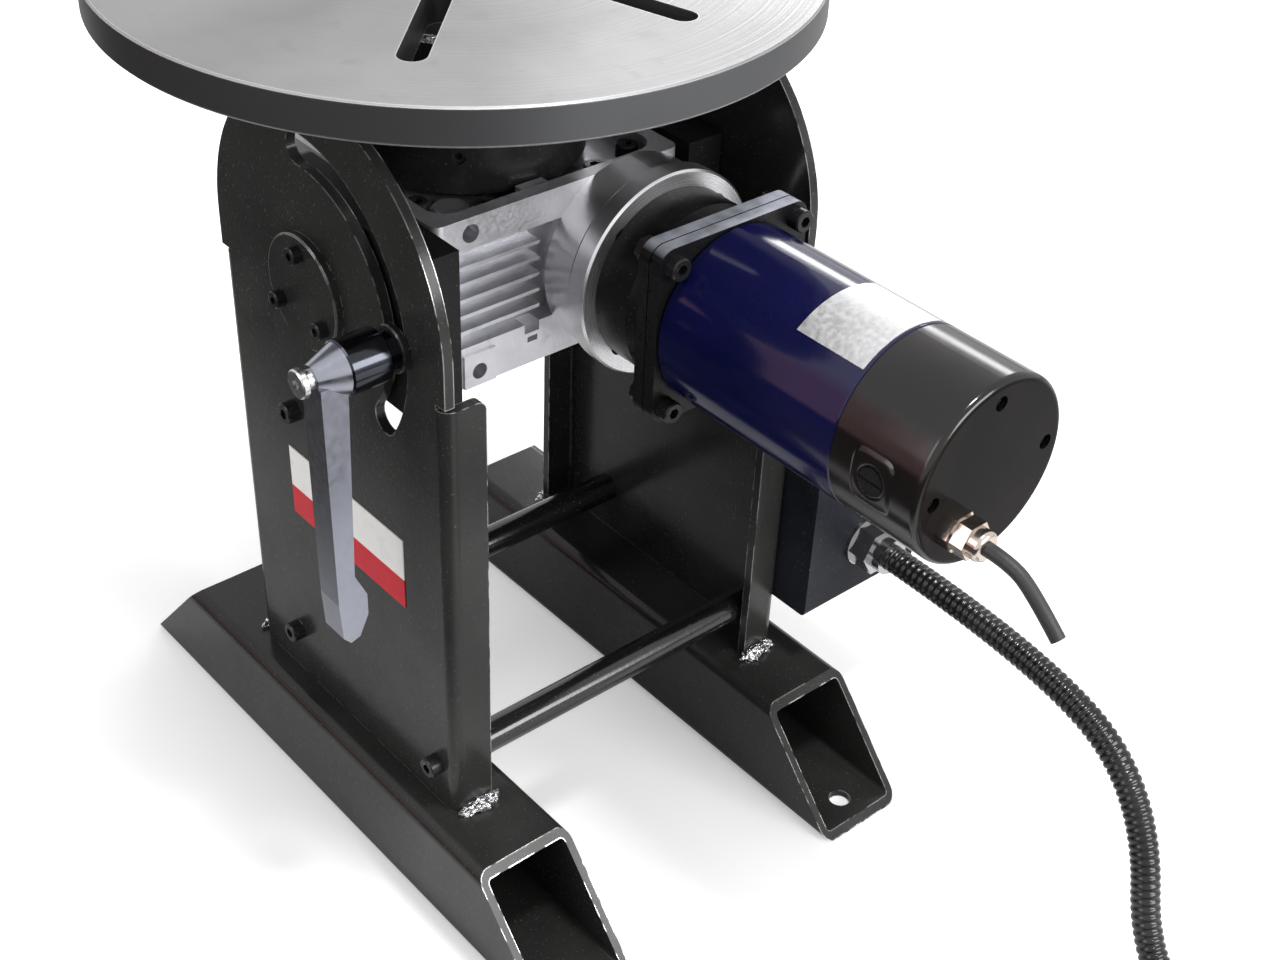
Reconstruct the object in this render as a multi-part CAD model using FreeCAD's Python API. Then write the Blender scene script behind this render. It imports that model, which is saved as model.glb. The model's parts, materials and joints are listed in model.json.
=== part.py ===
import FreeCAD, Part
import math
import os

V = FreeCAD.Vector
X = V(1, 0, 0)
Y = V(0, 1, 0)
Z = V(0, 0, 1)

# ---------------------------------------------------------------- driving sizes, millimetres
# Origin: on the floor under the middle of the four foot holes. +X along the tilt axis, -Y to the motor.
FOOT_HOLE_X = 231.0
FOOT_HOLE_Y = 411.0
FOOT_HOLE_R = 7.0
FOOT_WIDTH = 66.0
FOOT_HEIGHT = 74.0
FOOT_WALL = 5.0
FOOT_CORNER_R = 8.0
FOOT_LENGTH = 455.0
FOOT_TOP_LENGTH = 322.0

PLATE_OUTSIDE = 260.0
PLATE_T = 6.0
PLATE_WIDTH = 216.0
PLATE_MID_Y = -9.0
PLATE_RISE = 117.0
FLANGE_DEPTH = 26.0
FLANGE_DROP = 15.0
BEND_R = 8.0
WELD_LEG = 5.0

PIVOT_Y = 6.5
PIVOT_Z = 376.0
TRUNNION_R = 14.0
COVER_R = 33.5
COVER_T = 5.0
COVER_BOLT_R = 24.0
SLOT_RIM = 16.5
SLOT_WIDTH = 18.4
SLOT_LOW = -34.0
SLOT_HIGH = 92.0
STUD_R = 6.0
STUD_ANGLE = 4.0

ROD_R = 10.0
ROD_FRONT_IN = 18.5
ROD_FRONT_Z = 104.0
ROD_REAR_IN = 48.0
ROD_REAR_Z = 108.0

TABLE_Y = 43.7
TABLE_R = 200.0
TABLE_GAP = 11.5
TABLE_T = 20.5
TABLE_SLOTS = 6
TABLE_SLOT_W = 15.5
TABLE_SLOT_IN = 62.0
TABLE_SLOT_OUT = 144.0
DRUM_R = 70.0
SHAFT_R = 12.5

BOX_AHEAD = 88.6
BOX_ABOVE = 53.5
BOX_BELOW = 51.5
GEAR_TEETH = 60
WORM_DROP = 9.5
WORM_PITCH_R = 10.0

ARM_T = 25.0
ARM_GAP = 2.0
ARM_REAR_Y = 70.0
LEFT_ARM_AHEAD = 10.4
RIGHT_ARM_FRONT_Y = -42.0
LEFT_SPACER_T = 13.6
RIGHT_SPACER_T = 10.4

MOTOR_R = 53.0
MOTOR_PLATE_HALF = 53.7
MOTOR_PLATE_T = 16.2
FLANGE_RING_R = 62.2
INPUT_BASE_LENGTH = 21.2
INPUT_RING_LENGTH = 16.3
ADAPTER_LENGTH = 35.5
MOTOR_BODY_LENGTH = 130.4
MOTOR_COVER_LENGTH = 58.1
CABLE_R = 4.0

CONTROL_DEPTH = 103.0
CONTROL_FRONT_Y = -142.8
CONTROL_REAR_Y = -32.0
CONTROL_BOTTOM_Z = 112.0
CONTROL_TOP_Z = 256.0
CONTROL_WALL = 3.0
CONTROL_LID_T = 8.0
CONDUIT_X = 179.5
CONDUIT_Z = 153.5
CONDUIT_R = 9.0

# ---------------------------------------------------------------- named clearances
HOLE_CLEAR = 0.3
RUN_CLEAR = 0.05
FACE_CLEAR = 0.3
MOTOR_CLEAR = 1.8
WHEEL_CLEAR = 3.7

# ---------------------------------------------------------------- derived sizes
FOOT_X = FOOT_HOLE_X / 2
PLATE_FACE = PLATE_OUTSIDE / 2
PLATE_INSIDE = PLATE_FACE - PLATE_T
FLANGE_EDGE = PLATE_FACE - FLANGE_DEPTH
PLATE_FRONT_Y = PLATE_MID_Y - PLATE_WIDTH / 2
PLATE_REAR_Y = PLATE_MID_Y + PLATE_WIDTH / 2
PLATE_TOP_R = PLATE_WIDTH / 2
PLATE_TOP_Z = PIVOT_Z + PLATE_RISE
PLATE_ARC_Z = PLATE_TOP_Z - PLATE_TOP_R
FLANGE_TOP_Z = PIVOT_Z - FLANGE_DROP
ROD_FRONT_Y = PLATE_FRONT_Y + ROD_FRONT_IN
ROD_REAR_Y = PLATE_REAR_Y - ROD_REAR_IN
SLOT_R = PLATE_TOP_R - SLOT_RIM - SLOT_WIDTH / 2
STUD_Y = PIVOT_Y - SLOT_R * math.cos(math.radians(STUD_ANGLE))
STUD_Z = PIVOT_Z + SLOT_R * math.sin(math.radians(STUD_ANGLE))
ARM_FACE = PLATE_INSIDE - ARM_GAP
ARM_INSIDE = ARM_FACE - ARM_T
TABLE_UNDER_Z = PLATE_TOP_Z + TABLE_GAP
TABLE_TOP_Z = TABLE_UNDER_Z + TABLE_T
WORM_X = FLANGE_EDGE - MOTOR_PLATE_HALF - MOTOR_CLEAR
WORM_Z = PIVOT_Z - WORM_DROP
WHEEL_PITCH_R = WORM_X - WORM_PITCH_R
MODULE = 2 * WHEEL_PITCH_R / GEAR_TEETH
WHEEL_TIP_R = WHEEL_PITCH_R + 0.6 * MODULE
CHAMBER_R = WHEEL_TIP_R + WHEEL_CLEAR
BOX_LEFT = LEFT_SPACER_T - ARM_INSIDE
BOX_RIGHT = ARM_INSIDE - RIGHT_SPACER_T
BOX_FRONT = TABLE_Y - BOX_AHEAD
BOX_REAR = TABLE_Y + CHAMBER_R + 12.3
BOX_BOTTOM = WORM_Z - BOX_BELOW
BOX_TOP = WORM_Z + BOX_ABOVE
ARM_BOTTOM_Z = BOX_BOTTOM + 18.0
LEFT_ARM_FRONT_Y = STUD_Y - LEFT_ARM_AHEAD
LEFT_ARM_TOP_Z = BOX_TOP + 11.0
RIGHT_ARM_TOP_Z = BOX_TOP - 3.0
DRUM_BOTTOM_Z = BOX_TOP - 7.0
INPUT_STEP_Y = BOX_FRONT - INPUT_BASE_LENGTH
INPUT_FRONT_Y = INPUT_STEP_Y - INPUT_RING_LENGTH
ADAPTER_FRONT_Y = INPUT_FRONT_Y - ADAPTER_LENGTH
MOTOR_FACE_Y = ADAPTER_FRONT_Y - MOTOR_PLATE_T
MOTOR_SPLIT_Y = MOTOR_FACE_Y - MOTOR_BODY_LENGTH
MOTOR_END_Y = MOTOR_SPLIT_Y - MOTOR_COVER_LENGTH
BRUSH_Y = MOTOR_SPLIT_Y - 27.4
SCREW_SIZES = {"M4": (2.0, 3.5, 4.0), "M6": (3.0, 5.0, 6.0), "M8": (4.0, 6.5, 8.0)}


# ---------------------------------------------------------------- helpers
def box(x0, x1, y0, y1, z0, z1):
    return Part.makeBox(x1 - x0, y1 - y0, z1 - z0, V(x0, y0, z0))


def rod_x(r, x0, x1, y, z):
    return Part.makeCylinder(r, x1 - x0, V(x0, y, z), X)


def rod_y(r, y0, y1, x, z):
    return Part.makeCylinder(r, y1 - y0, V(x, y0, z), Y)


def rod_z(r, z0, z1, x, y):
    return Part.makeCylinder(r, z1 - z0, V(x, y, z0), Z)


def joined(shapes):
    first = shapes[0]
    if len(shapes) == 1:
        return first
    return first.fuse(shapes[1:]).removeSplitter()


def mirrored(shape):
    return shape.mirror(V(0, 0, 0), X)


def both_sides(shape):
    return Part.makeCompound([shape, mirrored(shape)])


def edges_along(shape, axis, keep=None):
    found = []
    for edge in shape.Edges:
        if edge.Curve.TypeId != "Part::GeomLine":
            continue
        way = edge.Curve.Direction
        if abs(abs(way.dot(axis)) - 1) > 1e-6:
            continue
        if keep is None or keep(edge.CenterOfMass):
            found.append(edge)
    return found


def rounded(shape, r, axis, keep=None):
    return shape.makeFillet(r, edges_along(shape, axis, keep))


def hexagon(across, height):
    r = across / math.sqrt(3)
    corners = []
    for i in range(7):
        a = math.radians(60 * i)
        corners.append(V(r * math.cos(a), r * math.sin(a), 0))
    return Part.Face(Part.makePolygon(corners)).extrude(V(0, 0, height))


def placed(shape, at, way):
    turn = FreeCAD.Rotation(Z, way)
    moved = shape.copy()
    moved.Placement = FreeCAD.Placement(at, turn)
    return moved


def socket_screw(size, length, at, way):
    # Head underside at the given point, head pointing the given way.
    shank_r, head_r, head_h = SCREW_SIZES[size]
    head = Part.makeCylinder(head_r, head_h)
    head = head.makeChamfer(0.12 * head_r, [head.Edges[0]])
    shank = Part.makeCylinder(shank_r, length, V(0, 0, -length))
    socket = hexagon(0.9 * head_r, head_h)
    socket.translate(V(0, 0, 0.45 * head_h))
    return placed(head.fuse(shank).cut(socket), at, way)


def save(name, shape):
    solids = shape.Solids
    body = solids[0] if len(solids) == 1 else Part.makeCompound(solids)
    body.exportStep("parts/" + name + ".step")
    print(name, "solids", len(solids), "volume", round(body.Volume), "valid", body.isValid())


# ---------------------------------------------------------------- stand
def foot_tube():
    half = FOOT_WIDTH / 2
    y = FOOT_LENGTH / 2
    outer = box(FOOT_X - half, FOOT_X + half, -y, y, 0, FOOT_HEIGHT)
    outer = rounded(outer, FOOT_CORNER_R, Y)
    w = FOOT_WALL
    inner = box(FOOT_X - half + w, FOOT_X + half - w, -y - 1, y + 1, w, FOOT_HEIGHT - w)
    inner = rounded(inner, FOOT_CORNER_R - w, Y)
    tube = outer.cut(inner)
    top = FOOT_TOP_LENGTH / 2
    for side in (-1, 1):
        tip = [V(0, side * y, 0), V(0, side * top, FOOT_HEIGHT), V(0, side * (y + 9), FOOT_HEIGHT)]
        tip.append(V(0, side * (y + 9), 0))
        tip.append(tip[0])
        wedge = Part.Face(Part.makePolygon(tip)).extrude(V(FOOT_X + FOOT_WIDTH, 0, 0))
        tube = tube.cut(wedge)
        tube = tube.cut(rod_z(FOOT_HOLE_R, -1, 2 * w, FOOT_X, side * FOOT_HOLE_Y / 2))
    return tube


def plate_blank():
    # Right-hand plate: bent channel below, flat web with a round top above.
    y0 = PLATE_FRONT_Y
    y1 = PLATE_REAR_Y
    t = PLATE_T
    outer = box(FLANGE_EDGE, PLATE_FACE, y0, y1, FOOT_HEIGHT, FLANGE_TOP_Z)
    outer = rounded(outer, BEND_R, Z, lambda c: c.x > PLATE_INSIDE)
    inner = box(FLANGE_EDGE - 1, PLATE_INSIDE, y0 + t, y1 - t, FOOT_HEIGHT - 1, FLANGE_TOP_Z + 1)
    inner = rounded(inner, BEND_R - t, Z, lambda c: c.x > FLANGE_EDGE)
    channel = outer.cut(inner)
    channel = rounded(channel, t, Y, lambda c: c.z > FLANGE_TOP_Z - 1 and c.x < PLATE_INSIDE - 1)
    web = box(PLATE_INSIDE, PLATE_FACE, y0, y1, FLANGE_TOP_Z, PLATE_ARC_Z)
    cap = rod_x(PLATE_TOP_R, PLATE_INSIDE, PLATE_FACE, PLATE_MID_Y, PLATE_ARC_Z)
    cap = cap.common(box(0, PLATE_FACE, y0, y1, FLANGE_TOP_Z, PLATE_TOP_Z))
    blank = joined([channel, web, cap])
    for y in (y0, y1):
        relief = box(PLATE_INSIDE - 1, PLATE_FACE + 1, y - BEND_R, y + BEND_R, FLANGE_TOP_Z, FLANGE_TOP_Z + 3)
        blank = blank.cut(relief)
    return blank


def cover_screw_places():
    places = []
    for angle in (90, 210, 330):
        a = math.radians(angle)
        places.append((PIVOT_Y + COVER_BOLT_R * math.cos(a), PIVOT_Z + COVER_BOLT_R * math.sin(a)))
    return places


def rod_places():
    return [(ROD_FRONT_Y, ROD_FRONT_Z), (ROD_REAR_Y, ROD_REAR_Z)]


def right_plate():
    plate = plate_blank()
    x0 = PLATE_INSIDE - 1
    x1 = PLATE_FACE + 1
    plate = plate.cut(rod_x(TRUNNION_R + 4, x0, x1, PIVOT_Y, PIVOT_Z))
    for y, z in cover_screw_places():
        plate = plate.cut(rod_x(3.0 + HOLE_CLEAR, x0, x1, y, z))
    for y, z in rod_places():
        plate = plate.cut(rod_x(4.0 + HOLE_CLEAR, x0, x1, y, z))
    return plate


def slot_point(angle, r):
    a = math.radians(angle)
    return V(0, PIVOT_Y - r * math.cos(a), PIVOT_Z + r * math.sin(a))


def arc_slot():
    r0 = SLOT_R - SLOT_WIDTH / 2
    r1 = SLOT_R + SLOT_WIDTH / 2
    middle = (SLOT_LOW + SLOT_HIGH) / 2
    outside = Part.Arc(slot_point(SLOT_LOW, r1), slot_point(middle, r1), slot_point(SLOT_HIGH, r1))
    inside = Part.Arc(slot_point(SLOT_HIGH, r0), slot_point(middle, r0), slot_point(SLOT_LOW, r0))
    over = math.degrees(SLOT_WIDTH / 2 / SLOT_R)
    high_tip = slot_point(SLOT_HIGH + over, SLOT_R)
    low_tip = slot_point(SLOT_LOW - over, SLOT_R)
    high_end = Part.Arc(slot_point(SLOT_HIGH, r1), high_tip, slot_point(SLOT_HIGH, r0))
    low_end = Part.Arc(slot_point(SLOT_LOW, r0), low_tip, slot_point(SLOT_LOW, r1))
    curves = [outside, high_end, inside, low_end]
    wire = Part.Wire([curve.toShape() for curve in curves])
    face = Part.Face(wire)
    face.translate(V(-PLATE_FACE - 1, 0, 0))
    return face.extrude(V(PLATE_T + 2, 0, 0))


STOP_Y = PIVOT_Y + 26.5
STOP_Z = PIVOT_Z - 91.0
LABEL_WIDTH = 116.0
LABEL_HEIGHT = 48.0


def left_plate():
    plate = mirrored(right_plate()).cut(arc_slot())
    return plate.cut(rod_x(4.0 + HOLE_CLEAR, -PLATE_FACE - 1, -PLATE_INSIDE + 1, STOP_Y, STOP_Z))


def weld_bead(y, side):
    # Ripples along the foot of a flange, outside the channel.
    bumps = []
    steps = 4
    length = PLATE_INSIDE - FLANGE_EDGE
    for i in range(steps):
        x = FLANGE_EDGE + length * (i + 0.5) / steps
        bumps.append(Part.makeSphere(WELD_LEG, V(x, y, FOOT_HEIGHT)))
    bead = joined(bumps)
    if side < 0:
        bead = bead.common(box(0, PLATE_FACE, y - 2 * WELD_LEG, y, FOOT_HEIGHT, FOOT_HEIGHT + 9))
    else:
        bead = bead.common(box(0, PLATE_FACE, y, y + 2 * WELD_LEG, FOOT_HEIGHT, FOOT_HEIGHT + 9))
    return bead


def weld_beads():
    right = [weld_bead(PLATE_FRONT_Y, -1), weld_bead(PLATE_REAR_Y, 1)]
    return Part.makeCompound(right + [mirrored(bead) for bead in right])


def tie_rod(y, z):
    bar = rod_x(ROD_R, -PLATE_INSIDE, PLATE_INSIDE, y, z)
    depth = 30.0
    for x in (-PLATE_INSIDE, PLATE_INSIDE - depth):
        bar = bar.cut(rod_x(4.0 + HOLE_CLEAR, x, x + depth, y, z))
    return bar


def tie_rod_bolts():
    bolts = []
    for y, z in rod_places():
        for side in (-1, 1):
            bolts.append(socket_screw("M8", 28.0, V(side * PLATE_FACE, y, z), V(side, 0, 0)))
    return Part.makeCompound(bolts)


def pivot_cover():
    disc = rod_x(COVER_R, PLATE_FACE, PLATE_FACE + COVER_T, PIVOT_Y, PIVOT_Z)
    disc = disc.makeChamfer(0.8, [e for e in disc.Edges if e.CenterOfMass.x > PLATE_FACE + 1 and e.Closed])
    for y, z in cover_screw_places():
        disc = disc.cut(rod_x(3.0 + HOLE_CLEAR, PLATE_FACE - 1, PLATE_FACE + COVER_T + 1, y, z))
    return disc


def pivot_cover_screws():
    screws = []
    for y, z in cover_screw_places():
        for side in (-1, 1):
            at = V(side * (PLATE_FACE + COVER_T), y, z)
            screws.append(socket_screw("M6", COVER_T + PLATE_T - 1, at, V(side, 0, 0)))
    return Part.makeCompound(screws)


def pivot_bush():
    sleeve = rod_x(TRUNNION_R + 4, PLATE_INSIDE - ARM_GAP + FACE_CLEAR, PLATE_FACE, PIVOT_Y, PIVOT_Z)
    collar = rod_x(TRUNNION_R + 7, PLATE_INSIDE - ARM_GAP + FACE_CLEAR, PLATE_INSIDE, PIVOT_Y, PIVOT_Z)
    bore = rod_x(TRUNNION_R + RUN_CLEAR, 0, PLATE_FACE + 1, PIVOT_Y, PIVOT_Z)
    return joined([sleeve, collar]).cut(bore)


def stop_screw():
    return socket_screw("M8", PLATE_T + 4, V(-PLATE_FACE, STOP_Y, STOP_Z), V(-1, 0, 0))


def side_label():
    y0 = PLATE_MID_Y - 64.0
    z0 = FOOT_HEIGHT + 133.0
    return box(-PLATE_FACE - 0.6, -PLATE_FACE, y0, y0 + LABEL_WIDTH, z0, z0 + LABEL_HEIGHT)


# ---------------------------------------------------------------- control box and conduit
CONTROL_INNER_X = PLATE_FACE
CONTROL_LID_X = PLATE_FACE + CONTROL_DEPTH - CONTROL_LID_T
FITTING_HOLE_R = 10.0
SCREW_INSET = CONTROL_WALL + 4.5
CONDUIT_START_Y = CONTROL_FRONT_Y - 25.0


def control_corners(inset):
    z0 = CONTROL_BOTTOM_Z + inset
    z1 = CONTROL_TOP_Z - inset
    y0 = CONTROL_FRONT_Y + inset
    y1 = CONTROL_REAR_Y - inset
    return [(y0, z0), (y0, z1), (y1, z0), (y1, z1)]


def control_box_body():
    w = CONTROL_WALL
    outer = box(CONTROL_INNER_X, CONTROL_LID_X, CONTROL_FRONT_Y, CONTROL_REAR_Y,
                CONTROL_BOTTOM_Z, CONTROL_TOP_Z)
    outer = rounded(outer, 4.0, X)
    inner = box(CONTROL_INNER_X + w, CONTROL_LID_X + 1, CONTROL_FRONT_Y + w, CONTROL_REAR_Y - w,
                CONTROL_BOTTOM_Z + w, CONTROL_TOP_Z - w)
    shell = outer.cut(inner)
    for y, z in control_corners(SCREW_INSET):
        post = rod_x(5.0, CONTROL_INNER_X + w, CONTROL_LID_X, y, z)
        shell = shell.fuse(post)
    for y, z in control_corners(SCREW_INSET):
        shell = shell.cut(rod_x(2.0 + HOLE_CLEAR, CONTROL_LID_X - 14, CONTROL_LID_X + 1, y, z))
    hole = rod_y(FITTING_HOLE_R + HOLE_CLEAR, CONTROL_FRONT_Y - 1, CONTROL_FRONT_Y + w + 1,
                 CONDUIT_X, CONDUIT_Z)
    return shell.cut(hole).removeSplitter()


def control_box_lid():
    x1 = PLATE_FACE + CONTROL_DEPTH
    lid = box(CONTROL_LID_X, x1, CONTROL_FRONT_Y, CONTROL_REAR_Y, CONTROL_BOTTOM_Z, CONTROL_TOP_Z)
    lid = rounded(lid, 4.0, X)
    lid = lid.makeFillet(2.0, [e for e in lid.Edges if e.CenterOfMass.x > x1 - 0.1])
    for y, z in control_corners(SCREW_INSET):
        lid = lid.cut(rod_x(2.0 + HOLE_CLEAR, CONTROL_LID_X - 1, x1 + 1, y, z))
    return lid


def control_box_screws():
    x1 = PLATE_FACE + CONTROL_DEPTH
    places = control_corners(SCREW_INSET)
    return Part.makeCompound([socket_screw("M4", 18.0, V(x1, y, z), X) for y, z in places])


def conduit_fitting():
    y = CONTROL_FRONT_Y
    washer = rod_y(17.5, y - 2.5, y, CONDUIT_X, CONDUIT_Z)
    nut = placed(hexagon(30.0, 14.0), V(CONDUIT_X, y - 2.5, CONDUIT_Z), -Y)
    collar = rod_y(12.5, CONDUIT_START_Y, y - 16.5, CONDUIT_X, CONDUIT_Z)
    thread = rod_y(FITTING_HOLE_R, y, y + CONTROL_WALL + 8, CONDUIT_X, CONDUIT_Z)
    body = joined([washer, nut, collar, thread])
    return body.cut(rod_y(6.5, CONDUIT_START_Y + 8, y + 20, CONDUIT_X, CONDUIT_Z))


def turned_path(points):
    # Straight runs joined by tangent arcs; returns the wire and its bend radii.
    edges = []
    radii = []
    last = points[0]
    for i in range(1, len(points) - 1):
        before = (points[i] - points[i - 1])
        after = (points[i + 1] - points[i])
        half = before.getAngle(after) / 2
        r = 0.45 * min(before.Length, after.Length) / math.tan(half)
        r = min(r, 160.0)
        trim = r * math.tan(half)
        into = V(before).normalize()
        out = V(after).normalize()
        start = points[i] - into * trim
        end = points[i] + out * trim
        inward = V(out - into).normalize()
        centre = points[i] + inward * (r / math.cos(half))
        middle = centre - inward * r
        edges.append(Part.makeLine(last, start))
        edges.append(Part.Arc(start, middle, end).toShape())
        radii.append(round(r, 1))
        last = end
    edges.append(Part.makeLine(last, points[-1]))
    return Part.Wire(edges), radii


def swept(wire, r):
    first = wire.OrderedEdges[0]
    at = first.valueAt(first.FirstParameter)
    way = first.tangentAt(first.FirstParameter)
    ring = Part.Wire(Part.makeCircle(r, at, way))
    return wire.makePipeShell([ring], True, False)


COIL_R = 105.0
COIL_END_R = 66.0
CONNECTOR_R = 12.0
COIL_PITCH = 2 * CONDUIT_R + 2.0
COIL_X = CONDUIT_X - 36.0
COIL_START_Y = -548.0


def conduit_points():
    # Level out of the box, over and down to the floor, then along it to the coil.
    x = CONDUIT_X
    y = CONDUIT_START_Y
    rows = [V(x, y, CONDUIT_Z), V(x, y - 122.0, CONDUIT_Z), V(x - 2.0, y - 216.0, 0.75 * CONDUIT_Z)]
    rows.append(V(COIL_X, y - 265.0, CONDUIT_R))
    rows.append(V(COIL_X, COIL_START_Y, CONDUIT_R))
    return rows


def conduit():
    wire, radii = turned_path(conduit_points())
    tube = swept(wire, CONDUIT_R)
    ratio = tube.Volume / (math.pi * CONDUIT_R ** 2 * wire.Length)
    print("conduit length", round(wire.Length), "radii", radii, "volume ratio", round(ratio, 4))
    return tube


def coil_wire():
    # Flat spiral of half turns; each half turn is one step tighter than the last.
    edges = []
    at = V(COIL_X, COIL_START_Y, CONDUIT_R)
    way = -1
    radii = [COIL_R - i * COIL_PITCH / 2 for i in range(3)] + [COIL_END_R]
    for r in radii:
        centre = at + V(-way * -1 * r, 0, 0)
        end = centre + (centre - at)
        middle = centre + V(0, way * r, 0)
        edges.append(Part.Arc(at, middle, end).toShape())
        at = end
        way = -way
    return Part.Wire(edges), at


def conduit_coil():
    wire, end = coil_wire()
    coil = swept(wire, CONDUIT_R)
    ratio = coil.Volume / (math.pi * CONDUIT_R ** 2 * wire.Length)
    print("coil length", round(wire.Length), "volume ratio", round(ratio, 4), "end", end)
    return coil


def conduit_connector():
    end = coil_wire()[1]
    rise = CONNECTOR_R - CONDUIT_R
    grip = rod_y(CONNECTOR_R - 1.5, end.y - 14, end.y, end.x, end.z + rise - 1.1)
    shell = rod_y(CONNECTOR_R, end.y - 40, end.y - 14, end.x, end.z + rise)
    bore = rod_y(CONDUIT_R, end.y - 41, end.y - 30, end.x, end.z + rise)
    return joined([grip, shell]).cut(bore)


# ---------------------------------------------------------------- cradle arms
LEVER_HUB_X = -PLATE_FACE - 11.0
LEVER_EYE_X = LEVER_HUB_X - 24.0
LEVER_FACE_X = LEVER_EYE_X - 16.0
LEVER_LENGTH = 169.7
LEVER_HUB_R = 15.0
LEVER_HALF = 9.0
BOLT_SPREAD_Y = 30.0
BOLT_SPREAD_Z = 25.0


def arm_bolt_places():
    mid_z = (ARM_BOTTOM_Z + RIGHT_ARM_TOP_Z) / 2
    places = []
    for dy in (-1, 1):
        for dz in (-1, 1):
            places.append((24.0 + dy * BOLT_SPREAD_Y, mid_z + dz * BOLT_SPREAD_Z))
    return places


def arm(front_y, top_z, side):
    x0 = min(side * ARM_FACE, side * ARM_INSIDE)
    block = box(x0, x0 + ARM_T, front_y, ARM_REAR_Y, ARM_BOTTOM_Z, top_z)
    block = rounded(block, 22.0, X, lambda c: c.y > 0)
    block = block.cut(rod_x(TRUNNION_R, x0 - 1, x0 + ARM_T + 1, PIVOT_Y, PIVOT_Z))
    for y, z in arm_bolt_places():
        block = block.cut(rod_x(4.0 + HOLE_CLEAR, x0 - 1, x0 + ARM_T + 1, y, z))
        deep = 9.0
        outer = side * ARM_FACE - deep if side > 0 else side * ARM_FACE
        block = block.cut(rod_x(7.0, outer, outer + deep, y, z))
    return block


def left_arm():
    block = arm(LEFT_ARM_FRONT_Y, LEFT_ARM_TOP_Z, -1)
    return block.cut(rod_x(STUD_R, -ARM_FACE - 1, -ARM_INSIDE + 1, STUD_Y, STUD_Z))


def arm_spacer(side):
    inner = -BOX_LEFT if side < 0 else BOX_RIGHT
    x0 = inner
    x1 = ARM_INSIDE
    places = arm_bolt_places()
    ys = [p[0] for p in places]
    zs = [p[1] for p in places]
    block = box(x0, x1, min(ys) - 12, max(ys) + 12, min(zs) - 12, max(zs) + 12)
    block = rounded(block, 10.0, X)
    for y, z in places:
        block = block.cut(rod_x(4.0 + HOLE_CLEAR, x0 - 1, x1 + 1, y, z))
    block = block.cut(rod_x(TRUNNION_R + 2, x0 - 1, x1 + 1, PIVOT_Y, PIVOT_Z))
    return block if side > 0 else mirrored(block)


def arm_bolts():
    bolts = []
    for y, z in arm_bolt_places():
        for side in (-1, 1):
            seat = side * (ARM_FACE - 9.0)
            inner = -BOX_LEFT if side < 0 else BOX_RIGHT
            length = abs(seat) - inner + 10.0
            bolts.append(socket_screw("M8", length, V(seat, y, z), V(side, 0, 0)))
    return Part.makeCompound(bolts)


def trunnion():
    pin = rod_x(TRUNNION_R, ARM_INSIDE, PLATE_FACE - FACE_CLEAR, PIVOT_Y, PIVOT_Z)
    return pin.makeChamfer(1.0, [e for e in pin.Edges if e.Closed and e.CenterOfMass.x > PLATE_FACE - 1])


def lock_stud():
    stud = rod_x(STUD_R, LEVER_EYE_X, -ARM_INSIDE, STUD_Y, STUD_Z)
    return stud.makeChamfer(1.0, [e for e in stud.Edges if e.Closed and e.CenterOfMass.x < LEVER_EYE_X + 1])


# ---------------------------------------------------------------- gearbox
SEAL_R = 20.0
BEARING_R = 24.0
WHEEL_HALF = 12.0
DECK_Z = BOX_TOP - 12.0
SPOT_X = BOX_LEFT + 31.4
SPOT_Y = TABLE_Y - 60.0
SPOT_R = 11.0
LIP_LUG_X = BOX_LEFT + 65.4
LIP_LUG_WIDTH = 18.0
BOSS_TOP_Z = DRUM_BOTTOM_Z - 1.0
WORM_BEARING_R = 15.0
WORM_SHAFT_R = 7.5
WORM_LENGTH = 46.0


def housing_blank():
    body = box(BOX_LEFT, BOX_RIGHT, BOX_FRONT, BOX_REAR, BOX_BOTTOM, BOX_TOP)
    body = rounded(body, 6.0, Z)
    # Sunk deck, open at the back, with a low boss for the turning shaft and a lug on the front lip.
    deck = box(BOX_LEFT + 9, BOX_RIGHT - 9, BOX_FRONT + 9, BOX_REAR + 20, DECK_Z, BOX_TOP + 1)
    deck = rounded(deck, 14.0, Z, lambda c: c.y < TABLE_Y)
    body = body.cut(deck)
    lug = box(LIP_LUG_X, LIP_LUG_X + LIP_LUG_WIDTH, BOX_FRONT + 8, BOX_FRONT + 16.5, DECK_Z, BOX_TOP - 1)
    boss = rod_z(46.0, BOX_BOTTOM + 1, BOSS_TOP_Z, 0, TABLE_Y)
    spot = rod_z(SPOT_R, DECK_Z - 5, BOSS_TOP_Z, SPOT_X, SPOT_Y)
    spot = spot.makeChamfer(1.5, [e for e in spot.Edges if e.Closed and e.CenterOfMass.z > BOSS_TOP_Z - 1])
    return body.fuse([boss, spot, lug])


RIB_BOTTOM_Z = BOX_BOTTOM + 26.0
RIB_TOP_Z = BOX_TOP - 19.0
RIB_RIGHT_X = WORM_X - FLANGE_RING_R
RIB_DEEP = 11.0
RIB_COUNT = 5
RIB_T = 2.2
INPUT_BOSS_R = 51.0


def rib_pocket():
    # Ribs stop short of the round boss that carries the input flange.
    gap = box(BOX_LEFT - 1, RIB_RIGHT_X + 22, BOX_FRONT - 1, BOX_FRONT + RIB_DEEP, RIB_BOTTOM_Z, RIB_TOP_Z)
    gap = gap.cut(rod_y(INPUT_BOSS_R, BOX_FRONT - 2, BOX_FRONT + RIB_DEEP + 1, WORM_X, WORM_Z))
    pitch = (RIB_TOP_Z - RIB_BOTTOM_Z) / (RIB_COUNT + 1)
    for i in range(RIB_COUNT):
        z = RIB_BOTTOM_Z + pitch * (i + 1)
        gap = gap.cut(box(BOX_LEFT - 2, RIB_RIGHT_X, BOX_FRONT - 2, BOX_FRONT + RIB_DEEP + 1,
                          z - RIB_T / 2, z + RIB_T / 2))
    return gap


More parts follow.
